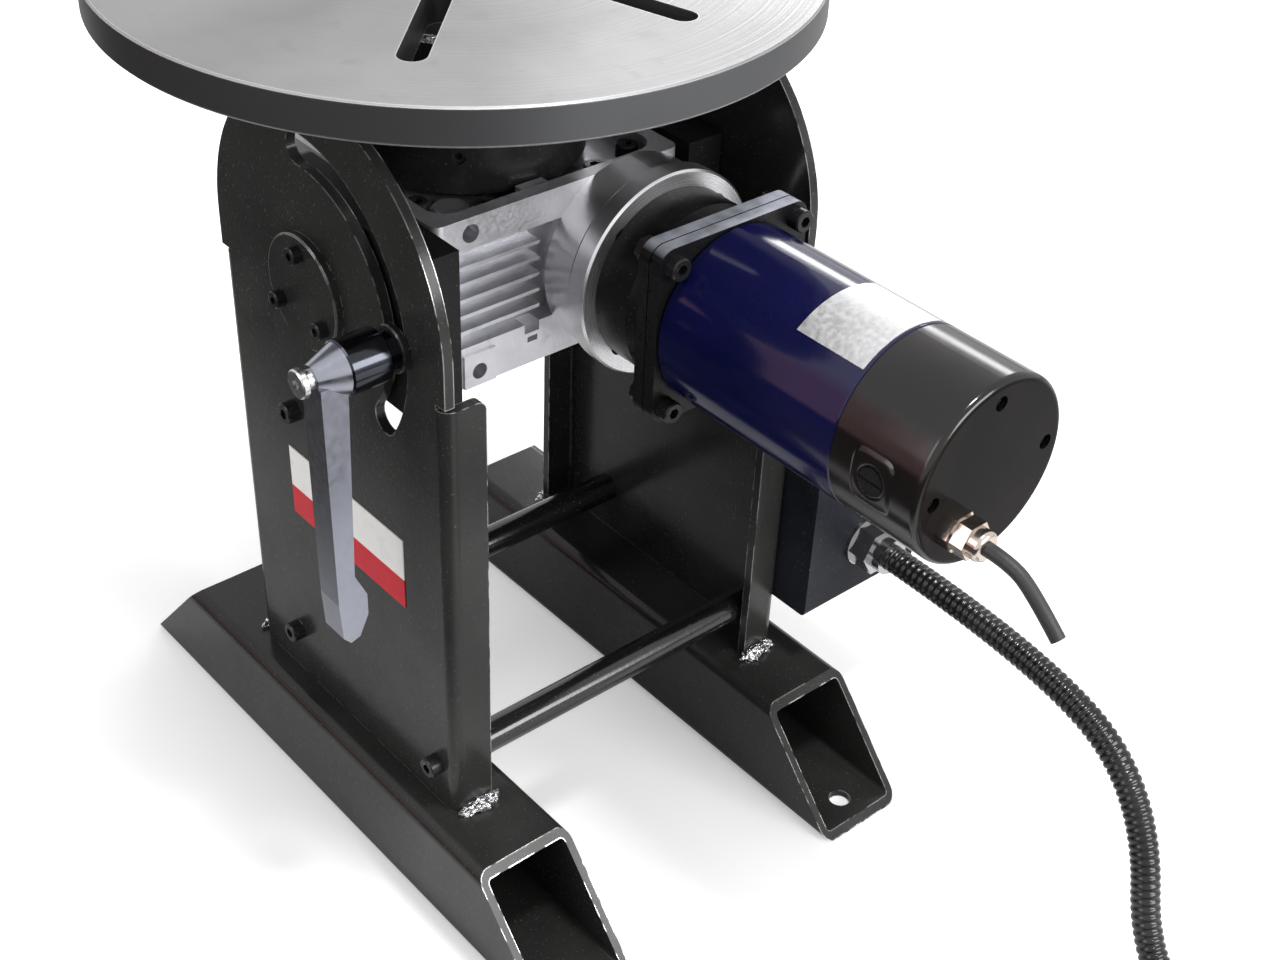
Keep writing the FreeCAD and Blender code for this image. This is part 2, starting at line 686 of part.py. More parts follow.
def rear_rib_pocket():
    return rib_pocket().mirror(V(0, (BOX_FRONT + BOX_REAR) / 2, 0), Y)


def shaft_bores():
    through = rod_z(SHAFT_R + 1.5, BOX_BOTTOM - 5, BOX_TOP + 5, 0, TABLE_Y)
    chamber = rod_z(CHAMBER_R, WORM_Z - WHEEL_HALF - 3, WORM_Z + WHEEL_HALF + 3, 0, TABLE_Y)
    worm_room = rod_y(14.5, TABLE_Y - 34, TABLE_Y + 34, WORM_X, WORM_Z)
    low_bearing = rod_z(BEARING_R, BOX_BOTTOM + 7, WORM_Z - WHEEL_HALF - 3, 0, TABLE_Y)
    high_bearing = rod_z(BEARING_R, WORM_Z + WHEEL_HALF + 3, BOSS_TOP_Z - 7, 0, TABLE_Y)
    low_seal = rod_z(SEAL_R, BOX_BOTTOM - 5, BOX_BOTTOM + 8, 0, TABLE_Y)
    high_seal = rod_z(SEAL_R, BOSS_TOP_Z - 8, BOX_TOP + 5, 0, TABLE_Y)
    worm_way = rod_y(WORM_BEARING_R, BOX_FRONT - 1, BOX_REAR - 14, WORM_X, WORM_Z)
    cap_way = rod_y(WORM_BEARING_R + 4, BOX_REAR - 14, BOX_REAR + 1, WORM_X, WORM_Z)
    upright = [through, chamber, low_bearing, high_bearing, low_seal, high_seal]
    return joined(upright + [worm_room, worm_way, cap_way])


def deck_screw_places():
    front = BOX_FRONT + 16.4
    places = [(SPOT_X + 14.0, front), (BOX_RIGHT - 48.6, front)]
    places += [(SPOT_X - 15.4, SPOT_Y + 10.0), (BOX_RIGHT - 17.0, SPOT_Y - 2.0)]
    return places


def deck_screws():
    return Part.makeCompound([socket_screw("M8", 6.0, V(x, y, DECK_Z), Z) for x, y in deck_screw_places()])


def gearbox_housing():
    body = housing_blank().cut(rib_pocket()).cut(rear_rib_pocket())
    left = BOX_LEFT + 16.6
    pad = box(left, left + 21.5, BOX_FRONT - 1.5, BOX_FRONT + 1, BOX_BOTTOM, BOX_BOTTOM + 21.0)
    body = body.fuse(pad)
    body = body.cut(rod_y(5.4, BOX_FRONT - 1, BOX_FRONT + 16, BOX_LEFT + 23.4, BOX_TOP - 9.5))
    body = body.cut(rod_y(4.9, BOX_FRONT - 3, BOX_FRONT + 16, BOX_LEFT + 26.8, BOX_BOTTOM + 9.1))
    notch = RIB_RIGHT_X - 10.3
    y0 = BOX_FRONT - 1
    z0 = RIB_BOTTOM_Z
    body = body.cut(box(notch, notch + 10.3, y0, y0 + 10, z0 - 6, z0 + 1))
    body = body.cut(box(notch + 2, notch + 9, y0, y0 + 6, z0 - 12, z0 - 8.5))
    body = body.cut(shaft_bores())
    for x, y in deck_screw_places():
        body = body.cut(rod_z(4.0 + HOLE_CLEAR, DECK_Z - 7, DECK_Z + 1, x, y))
    depth = 12.0
    for y, z in arm_bolt_places():
        body = body.cut(rod_x(4.0 + HOLE_CLEAR, BOX_LEFT - 1, BOX_LEFT + depth, y, z))
        body = body.cut(rod_x(4.0 + HOLE_CLEAR, BOX_RIGHT - depth, BOX_RIGHT + 1, y, z))
    for x, z in flange_screw_places():
        body = body.cut(rod_y(4.0 + HOLE_CLEAR, BOX_FRONT - 1, BOX_FRONT + 14, x, z))
    return body.removeSplitter()


def ring_z(r_in, r_out, z0, z1):
    return rod_z(r_out, z0, z1, 0, TABLE_Y).cut(rod_z(r_in, z0 - 1, z1 + 1, 0, TABLE_Y))


def output_bearings():
    low = ring_z(SHAFT_R + RUN_CLEAR, BEARING_R, BOX_BOTTOM + 8, WORM_Z - WHEEL_HALF - 3)
    high = ring_z(SHAFT_R + RUN_CLEAR, BEARING_R, WORM_Z + WHEEL_HALF + 3, BOSS_TOP_Z - 8)
    return [low, high]


def output_seals():
    low = ring_z(SHAFT_R + RUN_CLEAR, SEAL_R, BOX_BOTTOM, BOX_BOTTOM + 8)
    high = ring_z(SHAFT_R + RUN_CLEAR, SEAL_R, BOSS_TOP_Z - 8, BOSS_TOP_Z)
    return Part.makeCompound([low, high])


def worm_bearings():
    rings = []
    for y0, y1 in ((BOX_FRONT + 6, BOX_FRONT + 17), (BOX_REAR - 27, BOX_REAR - 14)):
        ring = rod_y(WORM_BEARING_R, y0, y1, WORM_X, WORM_Z)
        rings.append(ring.cut(rod_y(WORM_SHAFT_R + RUN_CLEAR, y0 - 1, y1 + 1, WORM_X, WORM_Z)))
    return rings


def worm_end_cap():
    return rod_y(WORM_BEARING_R + 4, BOX_REAR - 8, BOX_REAR, WORM_X, WORM_Z)


def oil_plug():
    return placed(hexagon(17.0, 6.0), V(BOX_LEFT, BOX_FRONT + 12.9, WORM_Z - 14.5), -X)


def flange_screw_places():
    places = []
    for angle in (45, 135, 225, 315):
        a = math.radians(angle)
        places.append((WORM_X + 47.0 * math.cos(a), WORM_Z + 47.0 * math.sin(a)))
    return places


COUNTERBORE = 16.0


def input_flange():
    base = rod_y(FLANGE_RING_R - 3.6, INPUT_STEP_Y, BOX_FRONT, WORM_X, WORM_Z)
    neck = rod_y(FLANGE_RING_R - 6.5, INPUT_STEP_Y - 3, INPUT_STEP_Y, WORM_X, WORM_Z)
    ring = rod_y(FLANGE_RING_R, INPUT_FRONT_Y, INPUT_STEP_Y - 3, WORM_X, WORM_Z)
    ring = ring.makeChamfer(1.2, [e for e in ring.Edges if e.Closed])
    body = joined([base, neck, ring])
    body = body.cut(rod_y(18.0, INPUT_FRONT_Y - 1, BOX_FRONT + 1, WORM_X, WORM_Z))
    for x, z in flange_screw_places():
        body = body.cut(rod_y(4.0 + HOLE_CLEAR, INPUT_FRONT_Y - 1, BOX_FRONT + 1, x, z))
        body = body.cut(rod_y(7.0, INPUT_FRONT_Y - 1, INPUT_FRONT_Y + COUNTERBORE, x, z))
    return body


def input_flange_screws():
    screws = []
    for x, z in flange_screw_places():
        at = V(x, INPUT_FRONT_Y + COUNTERBORE, z)
        screws.append(socket_screw("M8", BOX_FRONT - at.y + 10.5, at, -Y))
    return Part.makeCompound(screws)


# ---------------------------------------------------------------- motor
def motor_adapter():
    drum = rod_y(MOTOR_R - 0.2, ADAPTER_FRONT_Y + 10, INPUT_FRONT_Y, WORM_X, WORM_Z)
    cone = Part.makeCone(MOTOR_R - 0.2, MOTOR_R - 7, 10.0, V(WORM_X, ADAPTER_FRONT_Y + 10, WORM_Z), -Y)
    body = drum.fuse(cone)
    return body.cut(rod_y(18.0, ADAPTER_FRONT_Y - 1, INPUT_FRONT_Y + 1, WORM_X, WORM_Z)).removeSplitter()


def corner_places():
    reach = 44.5
    return [(WORM_X + i * reach, WORM_Z + j * reach) for i in (-1, 1) for j in (-1, 1)]



def motor_plate():
    h = MOTOR_PLATE_HALF
    plate = box(WORM_X - h, WORM_X + h, MOTOR_FACE_Y, ADAPTER_FRONT_Y, WORM_Z - h, WORM_Z + h)
    plate = rounded(plate, 10.0, Y)
    # Fine groove half way through, where the adapter flange meets the motor flange.
    seam_y = (MOTOR_FACE_Y + ADAPTER_FRONT_Y) / 2
    g = h - 0.8
    band = box(WORM_X - h - 1, WORM_X + h + 1, seam_y - 0.4, seam_y + 0.4, WORM_Z - h - 1, WORM_Z + h + 1)
    core = rounded(box(WORM_X - g, WORM_X + g, seam_y - 1, seam_y + 1, WORM_Z - g, WORM_Z + g), 9.2, Y)
    plate = plate.cut(band.cut(core))
    plate = plate.cut(rod_y(18.0, MOTOR_FACE_Y - 1, ADAPTER_FRONT_Y + 1, WORM_X, WORM_Z))
    for x, z in corner_places():
        plate = plate.cut(rod_y(4.0 + HOLE_CLEAR, MOTOR_FACE_Y - 1, ADAPTER_FRONT_Y + 1, x, z))
    return plate


def motor_plate_screws():
    screws = []
    for x, z in corner_places():
        screw = socket_screw("M8", MOTOR_PLATE_T + 9.0, V(x, MOTOR_FACE_Y, z), -Y)
        nut = placed(hexagon(13.0, 6.5), V(x, ADAPTER_FRONT_Y, z), Y)
        screws.append(screw.fuse(nut).removeSplitter())
    return Part.makeCompound(screws)


def motor_body():
    body = rod_y(MOTOR_R, MOTOR_SPLIT_Y, MOTOR_FACE_Y, WORM_X, WORM_Z)
    body = body.makeChamfer(1.5, [e for e in body.Edges if e.Closed])
    return body.cut(rod_y(14.0, MOTOR_FACE_Y - 30, MOTOR_FACE_Y + 1, WORM_X, WORM_Z))


def end_screw_places():
    places = []
    for angle in (92, 182, 272, 2):
        a = math.radians(angle)
        places.append((WORM_X + 41.0 * math.cos(a), WORM_Z + 41.0 * math.sin(a)))
    return places


END_SCREW_LENGTH = 14.0
GLAND_X = WORM_X - 24.4
GLAND_Z = WORM_Z - 20.9
GLAND_LENGTH = 24.0


def motor_rear_cover():
    body = rod_y(MOTOR_R, MOTOR_END_Y, MOTOR_SPLIT_Y, WORM_X, WORM_Z)
    body = body.makeFillet(4.0, [e for e in body.Edges if e.Closed and e.CenterOfMass.y < MOTOR_END_Y + 1])
    for x, z in end_screw_places():
        body = body.cut(rod_y(4.2, MOTOR_END_Y - 1, MOTOR_END_Y + 7, x, z))
        body = body.cut(rod_y(2.0 + HOLE_CLEAR, MOTOR_END_Y - 1, MOTOR_END_Y + 8 + END_SCREW_LENGTH, x, z))
    for side in (-1, 1):
        x = WORM_X + side * (MOTOR_R - 6)
        body = body.cut(rod_x(8.0, x - 7, x + 7, BRUSH_Y, WORM_Z))
    return body.cut(rod_y(4.0, MOTOR_END_Y - 1, MOTOR_END_Y + 12, GLAND_X, GLAND_Z))


def brush_caps():
    caps = []
    for side in (-1, 1):
        x = WORM_X + side * (MOTOR_R - 13)
        cap = Part.makeCylinder(7.7, 13.0, V(x, BRUSH_Y, WORM_Z), V(side, 0, 0))
        tip = V(WORM_X + side * (MOTOR_R + 1), BRUSH_Y, WORM_Z)
        slot = box(-1.0, 1.0, -9.0, 9.0, -3.0, 1.0)
        caps.append(cap.cut(placed(slot, tip, V(side, 0, 0))))
    return Part.makeCompound(caps)


def motor_end_screws():
    screws = []
    for x, z in end_screw_places():
        screws.append(socket_screw("M4", END_SCREW_LENGTH, V(x, MOTOR_END_Y + 7, z), -Y))
    return Part.makeCompound(screws)


def motor_label():
    y0 = MOTOR_SPLIT_Y + 2.5
    y1 = y0 + 46.0
    outer = rod_y(MOTOR_R + RUN_CLEAR + 0.5, y0, y1, WORM_X, WORM_Z)
    sleeve = outer.cut(rod_y(MOTOR_R + RUN_CLEAR, y0 - 1, y1 + 1, WORM_X, WORM_Z))
    reach = 3 * MOTOR_R
    corners = [V(WORM_X, y0 - 8, WORM_Z)]
    for angle in (129, 97, 66):
        a = math.radians(angle)
        corners.append(V(WORM_X + reach * math.cos(a), y0 - 8, WORM_Z + reach * math.sin(a)))
    corners.append(corners[0])
    wedge = Part.Face(Part.makePolygon(corners)).extrude(V(0, 80, 0))
    return sleeve.common(wedge)


def cable_gland():
    at = V(GLAND_X, MOTOR_END_Y, GLAND_Z)
    base = placed(hexagon(20.0, 7.0), at, -Y)
    neck = rod_y(8.6, MOTOR_END_Y - 8.5, MOTOR_END_Y - 7, GLAND_X, GLAND_Z)
    nut = placed(hexagon(19.0, 8.0), at - Y * 8.5, -Y)
    end_y = MOTOR_END_Y - GLAND_LENGTH
    dome = rod_y(8.6, end_y, MOTOR_END_Y - 16.5, GLAND_X, GLAND_Z)
    dome = dome.makeFillet(3.0, [e for e in dome.Edges if e.Closed and e.CenterOfMass.y < end_y + 1])
    thread = rod_y(3.7, MOTOR_END_Y, MOTOR_END_Y + 10, GLAND_X, GLAND_Z)
    return joined([base, neck, nut, dome, thread])


def motor_cable():
    y = MOTOR_END_Y - GLAND_LENGTH
    points = [V(GLAND_X, y, GLAND_Z), V(GLAND_X, y - 22, GLAND_Z), V(GLAND_X + 1, y - 46, GLAND_Z - 22)]
    wire, radii = turned_path(points)
    print("motor cable length", round(wire.Length), "radii", radii)
    return swept(wire, CABLE_R)


# ---------------------------------------------------------------- turntable
def table_plate():
    disc = rod_z(TABLE_R, TABLE_UNDER_Z, TABLE_TOP_Z, 0, TABLE_Y)
    disc = disc.makeChamfer(1.0, [e for e in disc.Edges if e.Closed])
    for i in range(TABLE_SLOTS):
        w = TABLE_SLOT_W / 2
        bar = box(TABLE_SLOT_IN, TABLE_SLOT_OUT, -w, w, TABLE_UNDER_Z - 1, TABLE_TOP_Z + 1)
        slot = bar
        for r in (TABLE_SLOT_IN, TABLE_SLOT_OUT):
            slot = slot.fuse(Part.makeCylinder(w, TABLE_T + 2, V(r, 0, TABLE_UNDER_Z - 1)))
        slot.rotate(V(0, 0, 0), Z, 45.0 + i * 360.0 / TABLE_SLOTS)
        slot.translate(V(0, TABLE_Y, 0))
        disc = disc.cut(slot)
    return disc


SET_SCREW_ANGLE = -128.0
SET_SCREW_Z = DRUM_BOTTOM_Z + 23.0


def drum_hole(r, r0, r1):
    a = math.radians(SET_SCREW_ANGLE)
    way = V(math.cos(a), math.sin(a), 0)
    return Part.makeCylinder(r, r1 - r0, V(r0 * way.x, TABLE_Y + r0 * way.y, SET_SCREW_Z), way)


def table_drum():
    drum = rod_z(DRUM_R, DRUM_BOTTOM_Z, TABLE_UNDER_Z, 0, TABLE_Y)
    drum = drum.makeChamfer(1.5, [e for e in drum.Edges if e.Closed and e.CenterOfMass.z < DRUM_BOTTOM_Z + 1])
    drum = drum.cut(rod_z(SHAFT_R, DRUM_BOTTOM_Z - 1, TABLE_UNDER_Z - 6, 0, TABLE_Y))
    drum = drum.cut(key_bar(DRUM_BOTTOM_Z, TABLE_UNDER_Z - 6))
    return drum.cut(drum_hole(4.0, SHAFT_R - 2, DRUM_R + 5))


def key_bar(z0, z1):
    return box(SHAFT_R - 4.0, SHAFT_R + 3.3, TABLE_Y - 4.0, TABLE_Y + 4.0, z0, z1)


def drum_weld():
    ring = Part.makeTorus(DRUM_R, 5.0, V(0, TABLE_Y, TABLE_UNDER_Z), Z)
    outside = ring_z(DRUM_R, DRUM_R + 9, TABLE_UNDER_Z - 9, TABLE_UNDER_Z)
    return ring.common(outside)


def drum_set_screw():
    screw = drum_hole(4.0, SHAFT_R, DRUM_R - 2)
    a = math.radians(SET_SCREW_ANGLE)
    way = V(math.cos(a), math.sin(a), 0)
    r = DRUM_R - 6
    return screw.cut(placed(hexagon(4.0, 8.0), V(r * way.x, TABLE_Y + r * way.y, SET_SCREW_Z), way))


SHAFT_BOTTOM_Z = BOX_BOTTOM - 1.0


def output_shaft():
    bar = rod_z(SHAFT_R, SHAFT_BOTTOM_Z, TABLE_UNDER_Z - 6, 0, TABLE_Y)
    bar = bar.cut(key_bar(DRUM_BOTTOM_Z, TABLE_UNDER_Z - 6))
    bar = bar.cut(key_bar(WORM_Z - WHEEL_HALF, WORM_Z + WHEEL_HALF))
    return bar.cut(rod_z(4.0 + HOLE_CLEAR, SHAFT_BOTTOM_Z - 1, SHAFT_BOTTOM_Z + 22, 0, TABLE_Y))


def shaft_keys():
    upper = key_bar(DRUM_BOTTOM_Z, TABLE_UNDER_Z - 6)
    lower = key_bar(WORM_Z - WHEEL_HALF, WORM_Z + WHEEL_HALF)
    return Part.makeCompound([upper, lower])


def retaining_washer():
    washer = ring_z(4.0 + HOLE_CLEAR, 16.0, SHAFT_BOTTOM_Z - 4, SHAFT_BOTTOM_Z)
    return washer


def retaining_screw():
    return socket_screw("M8", 20.0, V(0, TABLE_Y, SHAFT_BOTTOM_Z - 4), -Z)


def worm_wheel():
    root = WHEEL_PITCH_R - 1.2 * MODULE
    corners = []
    pitch = 360.0 / GEAR_TEETH
    for i in range(GEAR_TEETH):
        for part, r in ((-0.46, root), (-0.2, WHEEL_TIP_R), (0.2, WHEEL_TIP_R), (0.46, root)):
            a = math.radians(pitch * (i + part + 0.5))
            corners.append(V(r * math.cos(a), TABLE_Y + r * math.sin(a), WORM_Z - WHEEL_HALF / 2))
    corners.append(corners[0])
    rim = Part.Face(Part.makePolygon(corners)).extrude(V(0, 0, WHEEL_HALF))
    hub = rod_z(23.0, WORM_Z - WHEEL_HALF, WORM_Z + WHEEL_HALF, 0, TABLE_Y)
    wheel = rim.fuse(hub)
    wheel = wheel.cut(rod_z(SHAFT_R, WORM_Z - 20, WORM_Z + 20, 0, TABLE_Y))
    return wheel.cut(key_bar(WORM_Z - WHEEL_HALF, WORM_Z + WHEEL_HALF)).removeSplitter()


# ---------------------------------------------------------------- worm
COUPLING_Y1 = BOX_FRONT - 11.0
COUPLING_Y0 = COUPLING_Y1 - 44.0


def worm_shaft():
    core_r = WORM_PITCH_R - 1.4 * MODULE
    back = BOX_REAR - 9.0
    core = rod_y(core_r, BOX_FRONT + 20, BOX_REAR - 28, WORM_X, WORM_Z)
    front = rod_y(WORM_SHAFT_R, COUPLING_Y0 + 22, BOX_FRONT + 20, WORM_X, WORM_Z)
    rear = rod_y(WORM_SHAFT_R, BOX_REAR - 28, back, WORM_X, WORM_Z)
    parts = [core, front, rear]
    lead = math.pi * MODULE
    turns = int(WORM_LENGTH / lead)
    tip_r = WORM_PITCH_R + 0.25 * MODULE
    for i in range(turns):
        y = TABLE_Y + (i - turns / 2 + 0.5) * lead
        parts.append(rod_y(tip_r - MODULE, y - 0.2 * lead, y + 0.2 * lead, WORM_X, WORM_Z))
    return joined(parts)


def motor_coupling():
    sleeve = rod_y(12.5, COUPLING_Y0, COUPLING_Y1, WORM_X, WORM_Z)
    sleeve = sleeve.cut(rod_y(WORM_SHAFT_R, COUPLING_Y0 + 22, COUPLING_Y1 + 1, WORM_X, WORM_Z))
    return sleeve.cut(rod_y(6.0, COUPLING_Y0 - 1, COUPLING_Y0 + 22, WORM_X, WORM_Z))


def motor_shaft():
    return rod_y(6.0, MOTOR_FACE_Y - 24, COUPLING_Y0 + 22, WORM_X, WORM_Z)


# ---------------------------------------------------------------- lock lever
def stud_bore(r, x0, x1):
    return rod_x(r, x0, x1, STUD_Y, STUD_Z)


def lever_washer():
    face = -PLATE_FACE - FACE_CLEAR
    disc = rod_x(13.5, face - 4, face, STUD_Y, STUD_Z)
    disc = disc.makeChamfer(0.8, [e for e in disc.Edges if e.Closed and e.CenterOfMass.x < face - 3])
    return disc.cut(stud_bore(STUD_R + RUN_CLEAR, face - 5, face + 1))


def lever_hub():
    face = -PLATE_FACE - FACE_CLEAR - 4
    collar = rod_x(11.0, LEVER_HUB_X, face, STUD_Y, STUD_Z)
    drum = rod_x(LEVER_HUB_R, LEVER_EYE_X, LEVER_HUB_X, STUD_Y, STUD_Z)
    drum = drum.makeChamfer(1.0, [e for e in drum.Edges if e.Closed])
    return joined([collar, drum]).cut(stud_bore(STUD_R + RUN_CLEAR, LEVER_EYE_X - 1, face + 1))


def lever_arm():
    # Tapered eye and a flat bar that ends in a rounded heel bent towards the plate.
    depth = LEVER_EYE_X - LEVER_FACE_X
    eye = Part.makeCone(LEVER_HUB_R - 1, LEVER_HUB_R / 2, depth, V(LEVER_EYE_X, STUD_Y, STUD_Z), -X)
    front = LEVER_FACE_X
    back = LEVER_EYE_X
    top = STUD_Z - 3.0
    knee = STUD_Z - LEVER_LENGTH * 0.74
    heel = STUD_Z - LEVER_LENGTH * 0.83
    tip = STUD_Z - LEVER_LENGTH
    corners = [V(front, 0, top), V(front + 1.0, 0, heel), V(front + 2.5, 0, tip + 5), V(front + 7.0, 0, tip)]
    corners += [V(back - 3.0, 0, tip + 2), V(back + 3.0, 0, tip + 15), V(back + 3.0, 0, heel)]
    corners += [V(back - 4.0, 0, knee), V(back, 0, top)]
    corners.append(corners[0])
    bar = Part.Face(Part.makePolygon(corners)).extrude(V(0, 2 * LEVER_HALF, 0))
    bar.translate(V(0, STUD_Y - LEVER_HALF, 0))
    body = joined([eye, bar])
    return body.cut(stud_bore(4.0 + HOLE_CLEAR, LEVER_FACE_X - 9, LEVER_EYE_X + 1))


def lever_end_screw():
    shank = rod_x(4.0, LEVER_FACE_X - 4, LEVER_EYE_X - 2, STUD_Y, STUD_Z)
    shoulder = rod_x(5.5, LEVER_FACE_X - 4, LEVER_FACE_X, STUD_Y, STUD_Z)
    head = rod_x(8.0, LEVER_FACE_X - 8.5, LEVER_FACE_X - 4, STUD_Y, STUD_Z)
    head = head.makeChamfer(0.8, [e for e in head.Edges if e.Closed])
    screw = joined([shank, shoulder, head])
    socket = placed(hexagon(5.0, 4.0), V(LEVER_FACE_X - 6.5, STUD_Y, STUD_Z), -X)
    return screw.cut(socket)


# ---------------------------------------------------------------- write every node
os.makedirs("parts", exist_ok=True)
right_foot = foot_tube()
save("right_foot_tube", right_foot)
save("left_foot_tube", mirrored(right_foot))
save("right_side_plate", right_plate())
save("left_side_plate", left_plate())
save("weld_beads", weld_beads())
save("tie_rods", Part.makeCompound([tie_rod(y, z) for y, z in rod_places()]))
save("tie_rod_bolts", tie_rod_bolts())
save("pivot_covers", both_sides(pivot_cover()))
save("pivot_cover_screws", pivot_cover_screws())
save("pivot_bushes", both_sides(pivot_bush()))
save("stop_screw", stop_screw())
save("side_label", side_label())
save("control_box_body", control_box_body())
save("control_box_lid", control_box_lid())
save("control_box_screws", control_box_screws())
save("conduit_fitting", conduit_fitting())
save("conduit", conduit())
save("conduit_coil", conduit_coil())
save("conduit_connector", conduit_connector())
save("left_cradle_arm", left_arm())
save("right_cradle_arm", arm(RIGHT_ARM_FRONT_Y, RIGHT_ARM_TOP_Z, 1))
save("left_arm_spacer", arm_spacer(-1))
save("right_arm_spacer", arm_spacer(1))
save("cradle_arm_bolts", arm_bolts())
save("trunnions", both_sides(trunnion()))
save("lock_stud", lock_stud())
save("gearbox_housing", gearbox_housing())
save("deck_screws", deck_screws())
save("gearbox_bearings", Part.makeCompound(output_bearings() + worm_bearings()))
save("output_seals", output_seals())
save("worm_end_cap", worm_end_cap())
save("oil_plug", oil_plug())
save("input_flange", input_flange())
save("input_flange_screws", input_flange_screws())
save("motor_adapter", motor_adapter())
save("motor_plate", motor_plate())
save("motor_plate_screws", motor_plate_screws())
save("motor_body", motor_body())
save("motor_rear_cover", motor_rear_cover())
save("motor_end_screws", motor_end_screws())
save("brush_caps", brush_caps())
save("motor_label", motor_label())
save("cable_gland", cable_gland())
save("motor_cable", motor_cable())
save("table_plate", table_plate())
save("table_drum", table_drum())
save("drum_weld", drum_weld())
save("drum_set_screw", drum_set_screw())
save("output_shaft", output_shaft())
save("shaft_keys", shaft_keys())
save("retaining_washer", retaining_washer())
save("retaining_screw", retaining_screw())
save("worm_wheel", worm_wheel())
save("worm_shaft", worm_shaft())
save("motor_coupling", motor_coupling())
save("motor_shaft", motor_shaft())
save("lever_washer", lever_washer())
save("lever_hub", lever_hub())
save("lever_arm", lever_arm())
save("lever_end_screw", lever_end_screw())
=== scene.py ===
import json
import math

import bmesh
import bpy
from mathutils import Matrix, Vector, noise


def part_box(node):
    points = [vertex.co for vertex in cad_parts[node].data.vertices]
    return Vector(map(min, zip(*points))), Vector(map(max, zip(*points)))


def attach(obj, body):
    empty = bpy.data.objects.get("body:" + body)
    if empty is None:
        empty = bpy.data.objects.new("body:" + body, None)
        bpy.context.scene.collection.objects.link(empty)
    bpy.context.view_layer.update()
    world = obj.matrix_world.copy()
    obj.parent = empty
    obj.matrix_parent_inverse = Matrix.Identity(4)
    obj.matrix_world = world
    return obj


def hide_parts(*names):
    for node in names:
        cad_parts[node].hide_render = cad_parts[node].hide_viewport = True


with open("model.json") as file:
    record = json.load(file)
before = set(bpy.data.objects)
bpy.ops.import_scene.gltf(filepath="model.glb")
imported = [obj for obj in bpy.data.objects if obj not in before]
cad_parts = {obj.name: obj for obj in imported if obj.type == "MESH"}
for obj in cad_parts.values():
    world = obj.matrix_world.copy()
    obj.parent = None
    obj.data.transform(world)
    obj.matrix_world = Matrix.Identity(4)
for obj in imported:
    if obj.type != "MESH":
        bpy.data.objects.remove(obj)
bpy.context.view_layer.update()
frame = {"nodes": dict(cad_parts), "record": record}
nodes = frame["nodes"]
scene = bpy.context.scene


# ------------------------------------------------------------------ camera
CAMERA_PLACE = (-0.5751, -0.7599, 0.8889)


def aim_camera():
    yaw, pitch, roll = math.radians(42.7), math.radians(-37.7), math.radians(3.2)
    look = Vector((math.sin(yaw) * math.cos(pitch), math.cos(yaw) * math.cos(pitch), math.sin(pitch)))
    level = look.cross(Vector((0, 0, 1))).normalized()
    upright = level.cross(look)
    right = math.cos(roll) * level + math.sin(roll) * upright
    up = -math.sin(roll) * level + math.cos(roll) * upright
    data = bpy.data.cameras.new("camera")
    data.sensor_width = 36.0
    data.lens = 52.34
    data.shift_x = -0.0117
    data.shift_y = 0.0469
    camera = bpy.data.objects.new("camera", data)
    turn = Matrix((right, up, -look)).transposed().to_4x4()
    camera.matrix_world = Matrix.Translation(CAMERA_PLACE) @ turn
    scene.collection.objects.link(camera)
    scene.camera = camera


aim_camera()


# ------------------------------------------------------------------ shader helpers
def add(tree, kind, values=None, **settings):
    node = tree.nodes.new(kind)
    for name, value in settings.items():
        setattr(node, name, value)
    for socket, value in (values or {}).items():
        if isinstance(value, bpy.types.NodeSocket):
            tree.links.new(value, node.inputs[socket])
        else:
            node.inputs[socket].default_value = value
    return node


def maths(tree, operation, first, second=0.5, clamp=False):
    return add(tree, "ShaderNodeMath", {0: first, 1: second}, operation=operation, use_clamp=clamp).outputs[0]


def blend_colour(tree, factor, first, second):
    mix = add(tree, "ShaderNodeMix", {0: factor, 6: first, 7: second}, data_type="RGBA")
    return mix.outputs[2]


def remap(tree, value, low, high, to_low=0.0, to_high=1.0):
    values = {"Value": value, "From Min": low, "From Max": high, "To Min": to_low, "To Max": to_high}
    return add(tree, "ShaderNodeMapRange", values).outputs[0]


def new_group(name, inputs, outputs):
    tree = bpy.data.node_groups.new(name, "ShaderNodeTree")
    for label, kind, value in inputs:
        socket = tree.interface.new_socket(label, in_out="INPUT", socket_type="NodeSocket" + kind)
        socket.default_value = value
    for label, kind in outputs:
        tree.interface.new_socket(label, in_out="OUTPUT", socket_type="NodeSocket" + kind)
    return tree, tree.nodes.new("NodeGroupInput").outputs, tree.nodes.new("NodeGroupOutput").inputs


def speckle_group():
    # Patchy mask in object space, stretched along the three axes.
    inputs = [("Scale", "Float", 40.0), ("Stretch", "Vector", (1, 1, 1)), ("Detail", "Float", 4.0)]
    inputs += [("Low", "Float", 0.4), ("High", "Float", 0.6)]
    tree, given, out = new_group("speckle", inputs, [("Mask", "Float")])
    place = add(tree, "ShaderNodeTexCoord").outputs["Object"]
    place = add(tree, "ShaderNodeVectorMath", {0: place, 1: given["Stretch"]}, operation="MULTIPLY").outputs[0]
    values = {"Vector": place, "Scale": given["Scale"], "Detail": given["Detail"]}
    cells = add(tree, "ShaderNodeTexNoise", values)
    mask = remap(tree, cells.outputs[0], given["Low"], given["High"])
    tree.links.new(mask, out["Mask"])
    return tree


